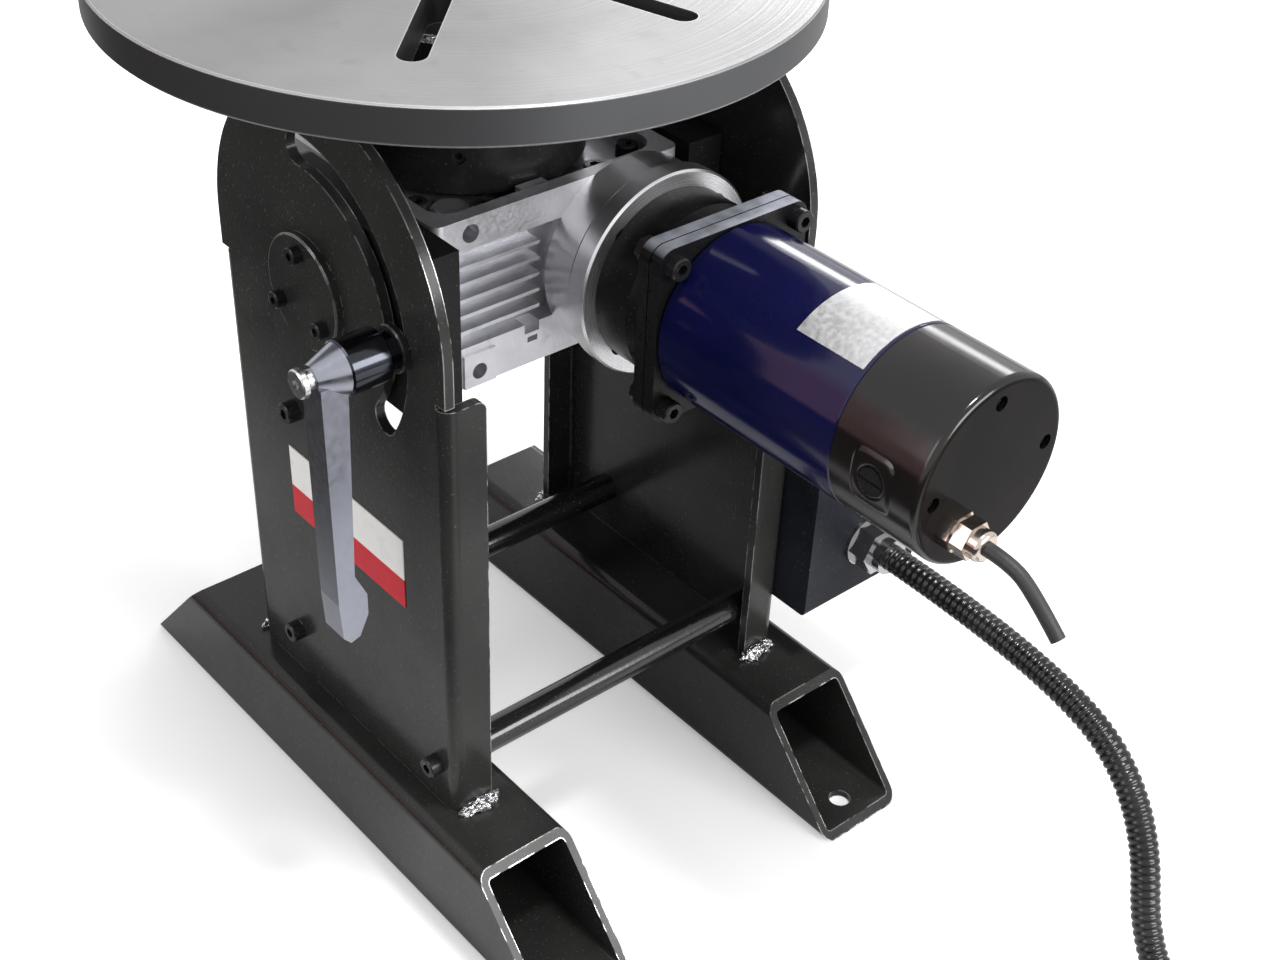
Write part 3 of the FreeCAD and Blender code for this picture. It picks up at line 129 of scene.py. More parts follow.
def edge_wear_and_highlight_group():
    # Bright where a rounded copy of the normal leaves the true one, broken up by noise: edge chips that double
    # as a painted edge highlight.
    inputs = [("Radius", "Float", 0.001), ("Amount", "Float", 0.5), ("Scale", "Float", 150.0)]
    tree, given, out = new_group("edge wear and highlight", inputs, [("Mask", "Float")])
    true = add(tree, "ShaderNodeNewGeometry").outputs["True Normal"]
    soft = add(tree, "ShaderNodeBevel", {"Radius": given["Radius"]}, samples=4).outputs[0]
    near = add(tree, "ShaderNodeVectorMath", {0: true, 1: soft}, operation="DOT_PRODUCT").outputs["Value"]
    edge = remap(tree, near, 0.99, 0.85)
    place = add(tree, "ShaderNodeTexCoord").outputs["Object"]
    cells = add(tree, "ShaderNodeTexNoise", {"Vector": place, "Scale": given["Scale"], "Detail": 5.0})
    low = maths(tree, "SUBTRACT", 0.75, maths(tree, "MULTIPLY", given["Amount"], 0.5))
    broken = remap(tree, cells.outputs[0], low, maths(tree, "ADD", low, 0.06))
    tree.links.new(maths(tree, "MULTIPLY", edge, broken), out["Mask"])
    return tree


def turned_group():
    # Fine rings about an axis through Centre; Axis Mask removes the part along the axis.
    inputs = [("Centre", "Vector", (0, 0, 0)), ("Axis Mask", "Vector", (1, 1, 0)), ("Scale", "Float", 900.0)]
    tree, given, out = new_group("turned rings", inputs, [("Height", "Float")])
    place = add(tree, "ShaderNodeTexCoord").outputs["Object"]
    place = add(tree, "ShaderNodeVectorMath", {0: place, 1: given["Centre"]}, operation="SUBTRACT")
    place = add(tree, "ShaderNodeVectorMath", {0: place.outputs[0], 1: given["Axis Mask"]}, operation="MULTIPLY")
    reach = add(tree, "ShaderNodeVectorMath", {0: place.outputs[0]}, operation="LENGTH").outputs["Value"]
    cells = add(tree, "ShaderNodeTexNoise", {"W": reach, "Scale": given["Scale"], "Detail": 3.0},
                noise_dimensions="1D")
    tree.links.new(cells.outputs[0], out["Height"])
    return tree


SPECKLE = speckle_group()
EDGE_WEAR_AND_HIGHLIGHT = edge_wear_and_highlight_group()
TURNED = turned_group()


def use(tree, group, output, **values):
    node = tree.nodes.new("ShaderNodeGroup")
    node.node_tree = group
    for label, value in values.items():
        node.inputs[label.replace("_", " ")].default_value = value
    return node.outputs[output]


def fresh(name):
    material = bpy.data.materials.new(name)
    material.use_nodes = True
    tree = material.node_tree
    tree.nodes.clear()
    shader = tree.nodes.new("ShaderNodeBsdfPrincipled")
    out = tree.nodes.new("ShaderNodeOutputMaterial")
    tree.links.new(shader.outputs[0], out.inputs[0])
    return material, tree, shader


def connect(tree, shader, **sources):
    for label, source in sources.items():
        tree.links.new(source, shader.inputs[label.replace("_", " ")])


def bump(tree, height, depth):
    values = {"Height": height, "Distance": depth, "Strength": 1.0}
    return add(tree, "ShaderNodeBump", values).outputs[0]


def facing(tree):
    # The way a face points in the piece's own axes, so that it stays with the piece when it turns.
    normal = add(tree, "ShaderNodeTexCoord").outputs["Normal"]
    return add(tree, "ShaderNodeSeparateXYZ", {0: normal}).outputs


def rgb(r, g, b):
    return (r, g, b, 1.0)


def paint(name, colour, shade, rough, gloss=0.5, coat=0.3, peel=0.00003, edge_wear_and_highlight_amount=0.2, specks=0.25):
    # Sprayed paint: slight orange peel, cloudy gloss, chips along the edges that are also a painted edge
    # highlight.
    material, tree, shader = fresh(name)
    clouds = use(tree, SPECKLE, "Mask", Scale=14.0, Detail=5.0, Low=0.35, High=0.65)
    colour = blend_colour(tree, clouds, colour, shade)
    dots = use(tree, SPECKLE, "Mask", Scale=650.0, Detail=2.0, Low=0.66, High=0.74)
    colour = blend_colour(tree, maths(tree, "MULTIPLY", dots, specks), colour, rgb(0.25, 0.24, 0.23))
    # Pale metal chips along the edges, partly a painted edge highlight.
    edge_chips_and_highlight = use(tree, EDGE_WEAR_AND_HIGHLIGHT, "Mask", Radius=0.0011, Amount=edge_wear_and_highlight_amount, Scale=75.0)
    connect(tree, shader, Base_Color=blend_colour(tree, edge_chips_and_highlight, colour, rgb(0.62, 0.61, 0.6)))
    smear = use(tree, SPECKLE, "Mask", Scale=32.0, Detail=6.0, Low=0.3, High=0.7)
    connect(tree, shader, Roughness=remap(tree, smear, 0.0, 1.0, rough * 0.8, rough * 1.3))
    connect(tree, shader, Metallic=maths(tree, "MULTIPLY", edge_chips_and_highlight, 0.8))
    ripple = use(tree, SPECKLE, "Mask", Scale=420.0, Detail=2.0, Low=0.2, High=0.8)
    connect(tree, shader, Normal=bump(tree, ripple, peel))
    shader.inputs["Specular IOR Level"].default_value = gloss
    shader.inputs["Coat Weight"].default_value = coat
    shader.inputs["Coat Roughness"].default_value = 0.12
    return material


def metal(name, colour, shade, rough, stretch=(1, 1, 1), grain=300.0, depth=0.00002, spots=0.3):
    # Bare metal: directional grain, tarnish patches and uneven gloss.
    material, tree, shader = fresh(name)
    lines = use(tree, SPECKLE, "Mask", Scale=grain, Stretch=stretch, Detail=6.0, Low=0.3, High=0.7)
    patches = use(tree, SPECKLE, "Mask", Scale=22.0, Detail=5.0, Low=0.45, High=0.7)
    colour = blend_colour(tree, maths(tree, "MULTIPLY", patches, spots), colour, shade)
    connect(tree, shader, Base_Color=colour)
    connect(tree, shader, Roughness=remap(tree, lines, 0.0, 1.0, rough * 0.75, rough * 1.3))
    connect(tree, shader, Normal=bump(tree, lines, depth))
    shader.inputs["Metallic"].default_value = 1.0
    return material


def moulded(name, colour, rough, grain=500.0, depth=0.00003, sheen=0.0, gloss=0.5):
    # Moulded plastic or rubber with a fine matt grain.
    material, tree, shader = fresh(name)
    skin = use(tree, SPECKLE, "Mask", Scale=grain, Detail=3.0, Low=0.3, High=0.7)
    # Pale dust patches.
    pale_mask = use(tree, SPECKLE, "Mask", Scale=30.0, Detail=6.0, Low=0.45, High=0.75)
    pale = tuple(0.6 * c + 0.05 for c in colour[:3]) + (1.0,)
    connect(tree, shader, Base_Color=blend_colour(tree, maths(tree, "MULTIPLY", pale_mask, 0.3), colour, pale))
    connect(tree, shader, Roughness=remap(tree, skin, 0.0, 1.0, rough * 0.85, rough * 1.15))
    connect(tree, shader, Normal=bump(tree, skin, depth))
    shader.inputs["Sheen Weight"].default_value = sheen
    shader.inputs["Specular IOR Level"].default_value = gloss
    return material


TABLE_CENTRE = Vector((0.0, 0.0437, 0.525))
WORM_LINE = Vector((0.0485, 0.0, 0.3665))


def ground_plate():
    # Turned and ground steel disc: rings about the middle, darker scale, small stains, painted shade on the rim
    # and a painted highlight along the edges.
    material, tree, shader = fresh("ground_steel")
    rings = use(tree, TURNED, "Height", Centre=TABLE_CENTRE, Axis_Mask=(1, 1, 0), Scale=700.0)
    cloud = use(tree, SPECKLE, "Mask", Scale=9.0, Detail=7.0, Low=0.35, High=0.68)
    stain = use(tree, SPECKLE, "Mask", Scale=60.0, Detail=6.0, Low=0.6, High=0.7)
    colour = blend_colour(tree, cloud, rgb(0.33, 0.33, 0.335), rgb(0.24, 0.24, 0.245))
    colour = blend_colour(tree, maths(tree, "MULTIPLY", stain, 0.25), colour, rgb(0.2, 0.19, 0.18))
    # Painted shade: side faces such as the rim get a darker colour than the top.
    upright = remap(tree, maths(tree, "ABSOLUTE", facing(tree)["Z"]), 0.3, 0.6)
    colour = blend_colour(tree, upright, rgb(0.095, 0.096, 0.1), colour)
    # Painted highlight: a pale grey along the disc's edges.
    edge = use(tree, EDGE_WEAR_AND_HIGHLIGHT, "Mask", Radius=0.0012, Amount=1.1, Scale=90.0)
    colour = blend_colour(tree, edge, colour, rgb(0.7, 0.7, 0.7))
    connect(tree, shader, Base_Color=colour)
    connect(tree, shader, Roughness=remap(tree, rings, 0.3, 0.7, 0.36, 0.5))
    connect(tree, shader, Normal=bump(tree, rings, 0.000009))
    shader.inputs["Metallic"].default_value = 0.85
    return material


def casting_with_painted_top_sheen():
    # Black casting whose upper faces are painted a lighter bluish grey, broken up by patches: a painted sheen.
    material, tree, shader = fresh("casting_with_painted_top_sheen")
    up = facing(tree)["Z"]
    patch = use(tree, SPECKLE, "Mask", Scale=90.0, Detail=6.0, Low=0.3, High=0.6)
    grain = use(tree, SPECKLE, "Mask", Scale=500.0, Detail=4.0, Low=0.3, High=0.7)
    # Painted sheen on the upward faces.
    pale_mask = maths(tree, "MULTIPLY", remap(tree, up, 0.6, 0.95), remap(tree, patch, 0.0, 1.0, 0.55, 1.0))
    connect(tree, shader, Base_Color=blend_colour(tree, pale_mask, rgb(0.006, 0.006, 0.007), rgb(0.42, 0.44, 0.5)))
    connect(tree, shader, Roughness=remap(tree, grain, 0.0, 1.0, 0.25, 0.45))
    connect(tree, shader, Normal=bump(tree, grain, 0.00008))
    shader.inputs["Specular IOR Level"].default_value = 0.2
    return material


def cover_black():
    # Polished black cover whose flat end is dull.
    material, tree, shader = fresh("cover_black")
    end = remap(tree, maths(tree, "ABSOLUTE", facing(tree)["Y"]), 0.8, 0.95)
    cloud = use(tree, SPECKLE, "Mask", Scale=20.0, Detail=5.0, Low=0.35, High=0.65)
    colour = blend_colour(tree, cloud, rgb(0.004, 0.004, 0.004), rgb(0.009, 0.006, 0.006))
    connect(tree, shader, Base_Color=colour)
    # Dulls the end in a render only: an exported model keeps the socket's plain value.
    connect(tree, shader, Specular_IOR_Level=remap(tree, end, 0.0, 1.0, 0.5, 0.05))
    connect(tree, shader, Roughness=remap(tree, cloud, 0.0, 1.0, 0.13, 0.2))
    return material


def turned_aluminium():
    material, tree, shader = fresh("machined_aluminium")
    rings = use(tree, TURNED, "Height", Centre=WORM_LINE, Axis_Mask=(1, 0, 1), Scale=2400.0)
    cloud = use(tree, SPECKLE, "Mask", Scale=20.0, Detail=5.0, Low=0.4, High=0.7)
    connect(tree, shader, Base_Color=blend_colour(tree, cloud, rgb(0.8, 0.8, 0.82), rgb(0.66, 0.66, 0.68)))
    connect(tree, shader, Roughness=remap(tree, rings, 0.3, 0.7, 0.22, 0.38))
    connect(tree, shader, Normal=bump(tree, rings, 0.00004))
    shader.inputs["Metallic"].default_value = 0.95
    return material


def cast_aluminium():
    material, tree, shader = fresh("cast_aluminium")
    skin = use(tree, SPECKLE, "Mask", Scale=420.0, Detail=5.0, Low=0.3, High=0.7)
    cloud = use(tree, SPECKLE, "Mask", Scale=25.0, Detail=6.0, Low=0.4, High=0.72)
    grime = use(tree, SPECKLE, "Mask", Scale=80.0, Detail=6.0, Low=0.6, High=0.72)
    colour = blend_colour(tree, cloud, rgb(0.66, 0.66, 0.69), rgb(0.52, 0.52, 0.55))
    colour = blend_colour(tree, maths(tree, "MULTIPLY", grime, 0.3), colour, rgb(0.3, 0.3, 0.31))
    connect(tree, shader, Base_Color=colour)
    connect(tree, shader, Roughness=remap(tree, skin, 0.0, 1.0, 0.34, 0.5))
    connect(tree, shader, Normal=bump(tree, skin, 0.00008))
    shader.inputs["Metallic"].default_value = 0.9
    return material


def weld_metal():
    material, tree, shader = fresh("weld_steel")
    lumps = use(tree, SPECKLE, "Mask", Scale=520.0, Detail=3.0, Low=0.35, High=0.65)
    burn = use(tree, SPECKLE, "Mask", Scale=420.0, Detail=4.0, Low=0.45, High=0.58)
    connect(tree, shader, Base_Color=blend_colour(tree, burn, rgb(0.8, 0.81, 0.83), rgb(0.06, 0.058, 0.06)))
    connect(tree, shader, Normal=bump(tree, lumps, 0.0006))
    shader.inputs["Roughness"].default_value = 0.22
    shader.inputs["Metallic"].default_value = 0.95
    return material


def two_tone_film():
    # Blank printed film: pale upper part, red lower part, rubbed in places.
    material, tree, shader = fresh("label_film")
    place = add(tree, "ShaderNodeTexCoord").outputs["Object"]
    height = add(tree, "ShaderNodeSeparateXYZ", {0: place}).outputs["Z"]
    lower = remap(tree, height, 0.2273, 0.2269)
    rub = use(tree, SPECKLE, "Mask", Scale=120.0, Detail=6.0, Low=0.55, High=0.75)
    colour = blend_colour(tree, lower, rgb(0.78, 0.76, 0.74), rgb(0.55, 0.014, 0.028))
    colour = blend_colour(tree, maths(tree, "MULTIPLY", rub, 0.15), colour, rgb(0.3, 0.25, 0.25))
    connect(tree, shader, Base_Color=colour)
    connect(tree, shader, Roughness=remap(tree, rub, 0.0, 1.0, 0.35, 0.5))
    shader.inputs["Specular IOR Level"].default_value = 0.2
    return material


BLACK = rgb(0.0165, 0.0165, 0.016)
BLACK_SHADE = rgb(0.026, 0.0255, 0.0245)
FINISHES = {
    "black_paint": paint("black_paint", BLACK, BLACK_SHADE, 0.2, gloss=0.27, coat=0.0, edge_wear_and_highlight_amount=0.6),
    "weld_steel": weld_metal(),
    "black_screws": paint("black_screws", rgb(0.006, 0.006, 0.007), rgb(0.014, 0.014, 0.015), 0.24,
                          gloss=0.3, coat=0.0, edge_wear_and_highlight_amount=0.3),
    "motor_dark": paint("motor_dark", rgb(0.004, 0.004, 0.004), rgb(0.009, 0.007, 0.007), 0.14, gloss=0.3,
                        coat=0.0, edge_wear_and_highlight_amount=0.1, specks=0.0),
    "motor_navy": paint("motor_navy", rgb(0.003, 0.004, 0.032), rgb(0.005, 0.005, 0.045), 0.12, gloss=0.4,
                        coat=0.15, peel=0.00001, edge_wear_and_highlight_amount=0.0, specks=0.0),
    "ground_steel": ground_plate(),
    "bright_steel": metal("bright_steel", rgb(0.66, 0.66, 0.67), rgb(0.4, 0.4, 0.4), 0.25, stretch=(0.1, 1, 1)),
    "bronze": metal("bronze", rgb(0.6, 0.4, 0.17), rgb(0.4, 0.25, 0.1), 0.35),
    "cast_aluminium": cast_aluminium(),
    "machined_aluminium": turned_aluminium(),
    "label_film": two_tone_film(),
    "label_foil": metal("label_foil", rgb(0.64, 0.64, 0.65), rgb(0.5, 0.5, 0.5), 0.45, depth=0.000005),
    "box_grey": paint("box_grey", rgb(0.008, 0.009, 0.013), rgb(0.02, 0.021, 0.027), 0.36, gloss=0.08,
                      coat=0.0, edge_wear_and_highlight_amount=0.15),
    "nickel": metal("nickel", rgb(0.52, 0.515, 0.52), rgb(0.34, 0.335, 0.34), 0.17, depth=0.000006),
    "conduit_black": moulded("conduit_black", rgb(0.005, 0.005, 0.005), 0.22, gloss=0.45),
    "cable_black": moulded("cable_black", rgb(0.015, 0.015, 0.016), 0.5, sheen=0.1),
    "black_plastic": moulded("black_plastic", rgb(0.005, 0.005, 0.005), 0.3, gloss=0.2),
    "seal_rubber": moulded("seal_rubber", rgb(0.012, 0.012, 0.012), 0.6),
}


LEVER_METAL = metal("lever_metal", rgb(0.36, 0.37, 0.43), rgb(0.25, 0.26, 0.3), 0.2, grain=200.0,
                    depth=0.000004)
HUB_METAL = metal("hub_metal", rgb(0.052, 0.054, 0.064), rgb(0.03, 0.031, 0.037), 0.13, grain=200.0,
                  depth=0.000003)
ROD_BLACK = paint("rod_black", rgb(0.006, 0.006, 0.006), rgb(0.012, 0.011, 0.011), 0.16, coat=0.4, edge_wear_and_highlight_amount=0.3)
DRUM_BLACK = paint("drum_black", rgb(0.008, 0.008, 0.008), rgb(0.012, 0.011, 0.011), 0.3, gloss=0.15,
                   coat=0.0, edge_wear_and_highlight_amount=0.2)
# Nodes whose finish differs from that of their slot.
OWN_FINISH = {
    "lever_arm": LEVER_METAL,
    "lever_hub": HUB_METAL,
    "motor_rear_cover": cover_black(),
    "tie_rods": ROD_BLACK,
    "motor_plate": casting_with_painted_top_sheen(),
    "left_cradle_arm": DRUM_BLACK,
    "right_cradle_arm": DRUM_BLACK,
    # The gland's warm tint is a painted orange reflection on its nickel.
    "cable_gland": metal("gland_nickel_painted_warm_reflection", rgb(0.64, 0.56, 0.5), rgb(0.44, 0.37, 0.32), 0.17, depth=0.000006),
    "table_drum": DRUM_BLACK,
    "motor_adapter": DRUM_BLACK,
}


def dress_cad():
    for part in frame["record"]["subparts"]:
        piece = nodes[part["node"]]
        finish = OWN_FINISH.get(part["node"], FINISHES[part["material_slot"]])
        if not piece.material_slots:
            piece.data.materials.append(finish)
        for slot in piece.material_slots:
            slot.material = finish


dress_cad()


def smooth_piece(name, mesh):
    data = bpy.data.meshes.new(name)
    mesh.to_mesh(data)
    mesh.free()
    for face in data.polygons:
        face.use_smooth = True
    piece = bpy.data.objects.new(name, data)
    scene.collection.objects.link(piece)
    return piece


# ------------------------------------------------------------------ cords
def nurbs_route(name, points):
    data = bpy.data.curves.new(name, "CURVE")
    data.dimensions = "3D"
    data.resolution_u = 16
    spline = data.splines.new("NURBS")
    spline.points.add(len(points) - 1)
    for point, place in zip(spline.points, points):
        point.co = (*place, 1.0)
    spline.order_u = 3
    spline.use_endpoint_u = True
    route = bpy.data.objects.new(name, data)
    scene.collection.objects.link(route)
    return route


def route_points(route):
    # The smooth line of a route, read from its spline.
    mesh = bpy.data.meshes.new_from_object(route)
    places = [v.co.copy() for v in mesh.vertices]
    bpy.data.meshes.remove(mesh)
    return places


def evenly(places, step):
    # The same line in even steps.
    out = [places[0].copy()]
    left = step
    for a, b in zip(places, places[1:]):
        gap = (b - a).length
        while gap >= left:
            a = a.lerp(b, left / gap)
            out.append(a.copy())
            gap -= left
            left = step
        left -= gap
    if (places[-1] - out[-1]).length > step * 0.3:
        out.append(places[-1].copy())
    return out


def tube_mesh(name, places, radii, sides):
    mesh = bmesh.new()
    ahead = (places[1] - places[0]).normalized()
    side = ahead.orthogonal().normalized()
    rings = []
    for i, place in enumerate(places):
        following = places[min(i + 1, len(places) - 1)]
        behind = places[max(i - 1, 0)]
        new_ahead = (following - behind).normalized()
        side = (side - new_ahead * side.dot(new_ahead)).normalized()
        up = new_ahead.cross(side)
        ring = []
        for k in range(sides):
            a = 2 * math.pi * k / sides
            ring.append(mesh.verts.new(place + radii[i] * (math.cos(a) * side + math.sin(a) * up)))
        rings.append(ring)
    for a, b in zip(rings, rings[1:]):
        for k in range(sides):
            mesh.faces.new((a[k], a[(k + 1) % sides], b[(k + 1) % sides], b[k]))
    mesh.faces.new(list(reversed(rings[0])))
    mesh.faces.new(rings[-1])
    bmesh.ops.recalc_face_normals(mesh, faces=mesh.faces)
    return smooth_piece(name, mesh)


CONDUIT_EXIT = Vector((0.1795, -0.1678, 0.1535))
CONDUIT_R = 0.009
COIL_START = Vector((0.1435, -0.548, 0.009))
COIL_RADII = (0.105, 0.095, 0.085, 0.066)
# The points stand a little outside the turn, because the spline cuts inside them.
COIL_BULGE = 1.012
RIDGE_PITCH = 0.0048
RIDGE_DEPTH = 0.0012
RIDGE_SHAPE = (0.0, 0.15, 1.0, 0.15)


def conduit_route():
    x, floor = CONDUIT_EXIT.x, CONDUIT_R
    points = [tuple(CONDUIT_EXIT), (x, -0.290, 0.1535), (x - 0.002, -0.384, 0.115)]
    points.append((COIL_START.x, -0.433, floor))
    points.append(tuple(COIL_START - Vector((0, -0.012, 0))))
    centre_x, way = COIL_START.x, -1
    for radius in COIL_RADII:
        centre_x = centre_x + way * radius
        for i in range(7):
            a = math.radians(15 + 25 * i)
            points.append((centre_x - way * radius * COIL_BULGE * math.cos(a),
                           COIL_START.y + way * radius * COIL_BULGE * math.sin(a), floor))
        centre_x = centre_x + way * radius
        way = -way
    points.append((centre_x, COIL_START.y, floor))
    return points


def conduit_hose():
    route = nurbs_route("conduit_route", conduit_route())
    smooth = route_points(route)
    bpy.data.objects.remove(route)
    places = evenly(smooth, RIDGE_PITCH / 4)
    radii = [CONDUIT_R - RIDGE_DEPTH * RIDGE_SHAPE[i % 4] for i in range(len(places))]
    hose = tube_mesh("conduit_hose", places, radii, sides=20)
    hose.data.materials.append(FINISHES["conduit_black"])
    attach(hose, "stand")
    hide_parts("conduit", "conduit_coil")


def motor_lead():
    exit_point = (0.0241, -0.3466, 0.3456)
    points = [exit_point, (0.0241, -0.3600, 0.3456), (0.0246, -0.3745, 0.3392), (0.0256, -0.3945, 0.3200)]
    route = nurbs_route("motor_lead", points)
    smooth = route_points(route)
    route.data.bevel_depth = 0.0040
    route.data.bevel_resolution = 5
    route.data.use_fill_caps = True
    route.data.materials.append(FINISHES["cable_black"])
    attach(route, "cradle")
    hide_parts("motor_cable")


conduit_hose()
motor_lead()


# ------------------------------------------------------------------ brush pads
PAD_RISE = 0.0008
PAD_THICKNESS = 0.0015
PAD_HALF_LENGTH = 0.0145
PAD_HALF_ANGLE = 0.33
PAD_STEPS = 32
PAD_CORNER_POWER = 5
PAD_RIM, PAD_RIM_SLOPE = 0.93, 9.0
CAP_OPENING_R, CAP_OPENING_SLOPE = 0.0086, 1400.0
PAD_SUNK = -0.7


def pad_lift(along, across, radius):
    # Full height on the pad, sunk below the cover outside its rim and round the cap.
    rim = (abs(along) ** PAD_CORNER_POWER + abs(across) ** PAD_CORNER_POWER) ** (1 / PAD_CORNER_POWER)
    cap_gap = math.hypot(PAD_HALF_LENGTH * along, radius * PAD_HALF_ANGLE * across) - CAP_OPENING_R
    at_rim = max(PAD_SUNK, (PAD_RIM - rim) * PAD_RIM_SLOPE)
    at_cap = max(PAD_SUNK, cap_gap * CAP_OPENING_SLOPE)
    return PAD_RISE * min(1.0, at_rim, at_cap)


def brush_pad(name, outward, middle_y, radius):
    # A low cast pad with rounded corners, wrapped on the motor cover round its brush cap.
    mesh = bmesh.new()
    grid = []
    for i in range(PAD_STEPS + 1):
        along = 2.0 * i / PAD_STEPS - 1.0
        row = []
        for j in range(PAD_STEPS + 1):
            across = 2.0 * j / PAD_STEPS - 1.0
            angle = outward + PAD_HALF_ANGLE * across
            reach = radius + pad_lift(along, across, radius)
            x, z = WORM_LINE.x + reach * math.cos(angle), WORM_LINE.z + reach * math.sin(angle)
            row.append(mesh.verts.new((x, middle_y + PAD_HALF_LENGTH * along, z)))
        grid.append(row)
    for a, b in zip(grid, grid[1:]):
        for k in range(PAD_STEPS):
            mesh.faces.new((a[k], a[k + 1], b[k + 1], b[k]))
    bmesh.ops.recalc_face_normals(mesh, faces=mesh.faces)
    pad = smooth_piece(name, mesh)
    pad.modifiers.new("thickness", "SOLIDIFY").thickness = PAD_THICKNESS
    pad.data.materials.append(OWN_FINISH["motor_rear_cover"])
    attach(pad, "cradle")


def brush_pads():
    caps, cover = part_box("brush_caps"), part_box("motor_rear_cover")
    middle_y = (caps[0][1] + caps[1][1]) / 2
    radius = (cover[1][2] - cover[0][2]) / 2
    brush_pad("left_brush_pad", math.pi, middle_y, radius)
    brush_pad("right_brush_pad", 0.0, middle_y, radius)


brush_pads()


# ------------------------------------------------------------------ weld beads
def bead_boxes():
    # One box for each bead of the weld node, told apart by which side and end it is on.
    found = {}
    piece = nodes["weld_beads"]
    for vertex in piece.data.vertices:
        place = piece.matrix_world @ vertex.co
        corner = (place.x > 0, place.y > 0)
        low, high = found.setdefault(corner, (place.copy(), place.copy()))
        for i in range(3):
            low[i] = min(low[i], place[i])
            high[i] = max(high[i], place[i])
    return [found[corner] for corner in sorted(found)]


DROPLET_SCALE = 260.0
DROPLET_SIZE = 0.34
RIPPLE_COUNT, RIPPLE_SIZE = 17.0, 0.06


def ragged_bead(name, low, high):
    # A run of hand weld: a flat lump broken into droplets, a little larger than the plain bead.
    mesh = bmesh.new()
    bmesh.ops.create_icosphere(mesh, subdivisions=5, radius=1.0)
    middle, half = (low + high) / 2, (high - low) / 2
    reach = Vector((half.x * 1.15, half.y * 1.3 + 0.002, half.z * 1.3 + 0.001))
    for vertex in mesh.verts:
        way = vertex.co.normalized()
        place = Vector((way.x * reach.x, way.y * reach.y, way.z * reach.z))
        drops = noise.fractal((middle + place) * DROPLET_SCALE, 1.0, 2.0, 4)
        ripple = math.sin(way.x * RIPPLE_COUNT) * RIPPLE_SIZE
        vertex.co = middle + place * (0.95 + DROPLET_SIZE * drops + ripple)
        vertex.co.z = max(vertex.co.z, low.z)
    bead = smooth_piece(name, mesh)
    bead.data.materials.append(FINISHES["weld_steel"])
    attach(bead, "stand")
    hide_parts("weld_beads")


for number, (low, high) in enumerate(bead_boxes(), 1):
    ragged_bead("weld_bead_%d" % number, low, high)


# ------------------------------------------------------------------ floor, light, world
FLOOR_WHITE, FLOOR_DIM = rgb(0.8, 0.8, 0.8), rgb(0.06, 0.058, 0.055)
DIM_X, FULL_X = -0.38, -0.22
GLOW_START, GLOW_END = 0.2, 0.8
GLOW_NEAR, GLOW_FAR = 0.34, 0.8
CARD_WAY = (-0.82, 0.56, 0.1)
CARD_ROSE = rgb(0.8, 0.45, 0.47)


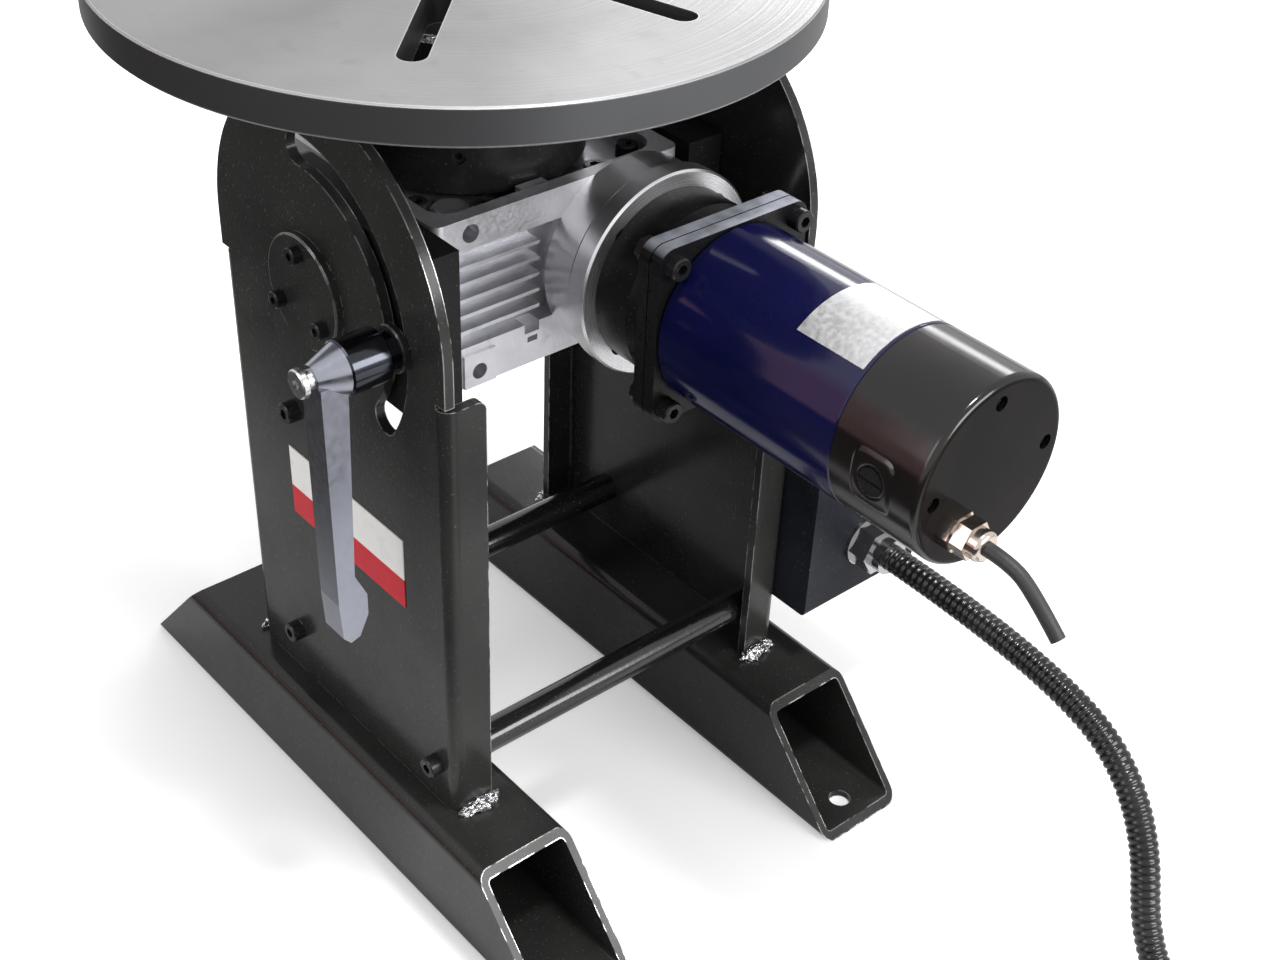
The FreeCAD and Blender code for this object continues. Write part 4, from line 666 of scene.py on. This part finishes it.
def pale_floor():
    bpy.ops.mesh.primitive_plane_add(size=12.0, location=(0, 0, -0.0005))
    floor = bpy.context.object
    floor.name = "floor"
    material = bpy.data.materials.new("floor")
    material.use_nodes = True
    tree = material.node_tree
    tree.nodes.clear()
    path = add(tree, "ShaderNodeLightPath").outputs
    place = add(tree, "ShaderNodeNewGeometry").outputs["Position"]
    across = add(tree, "ShaderNodeSeparateXYZ", {0: place}).outputs["X"]
    # In reflections only, the floor goes dark to the left of the object.
    lit = remap(tree, across, DIM_X, FULL_X)
    dim = maths(tree, "MULTIPLY", path["Is Glossy Ray"], maths(tree, "SUBTRACT", 1.0, lit))
    colour = blend_colour(tree, dim, FLOOR_WHITE, FLOOR_DIM)
    matt = add(tree, "ShaderNodeBsdfDiffuse", {"Color": colour}).outputs[0]
    # The camera alone sees it go to plain white away from the object, and its shadow close by.
    reach = add(tree, "ShaderNodeVectorMath", {0: place}, operation="LENGTH").outputs["Value"]
    far = remap(tree, reach, GLOW_START, GLOW_END, GLOW_NEAR, GLOW_FAR)
    strength = maths(tree, "MULTIPLY", path["Is Camera Ray"], far)
    glow = add(tree, "ShaderNodeEmission", {"Color": rgb(1, 1, 1), "Strength": strength})
    both = add(tree, "ShaderNodeAddShader", {0: matt, 1: glow.outputs[0]}).outputs[0]
    out = tree.nodes.new("ShaderNodeOutputMaterial")
    tree.links.new(both, out.inputs[0])
    floor.data.materials.append(material)


def white_world():
    world = bpy.data.worlds.new("studio")
    scene.world = world
    world.use_nodes = True
    tree = world.node_tree
    tree.nodes.clear()
    path = add(tree, "ShaderNodeLightPath").outputs
    seen = maths(tree, "ADD", path["Is Camera Ray"], path["Is Transmission Ray"])
    seen = maths(tree, "ADD", seen, path["Is Glossy Ray"], clamp=True)
    strength = remap(tree, seen, 0.0, 1.0, 0.5, 1.0)
    # A rose card low on the left, seen in reflections only.
    way = add(tree, "ShaderNodeTexCoord").outputs["Generated"]
    near = add(tree, "ShaderNodeVectorMath", {0: way, 1: CARD_WAY}, operation="DOT_PRODUCT")
    card = maths(tree, "MULTIPLY", remap(tree, near.outputs["Value"], 0.86, 0.96), path["Is Glossy Ray"])
    tint = blend_colour(tree, card, rgb(1, 1, 1), CARD_ROSE)
    light = add(tree, "ShaderNodeBackground", {"Color": tint, "Strength": strength}).outputs[0]
    out = tree.nodes.new("ShaderNodeOutputWorld")
    tree.links.new(light, out.inputs[0])


def soft_light(name, place, target, size, power):
    data = bpy.data.lights.new(name, "AREA")
    data.shape = "RECTANGLE"
    data.size, data.size_y = size
    data.energy = power
    lamp = bpy.data.objects.new(name, data)
    lamp.location = place
    lamp.rotation_euler = (Vector(target) - Vector(place)).to_track_quat("-Z", "Y").to_euler()
    scene.collection.objects.link(lamp)


pale_floor()
white_world()
soft_light("front_softbox", (0.5, -2.3, 1.2), (0, 0, 0.3), (1.6, 1.0), 48)
soft_light("overhead_lamp", (0.1, -0.5, 2.3), (0, 0, 0.3), (0.3, 0.3), 27)
soft_light("back_window", (1.9, 1.35, 1.25), (0, -0.15, 0.4), (1.3, 0.4), 13)
soft_light("left_fill", (-2.2, 0.4, 1.5), (0, 0, 0.3), (1.2, 1.2), 14)
scene.view_settings.view_transform = "Standard"
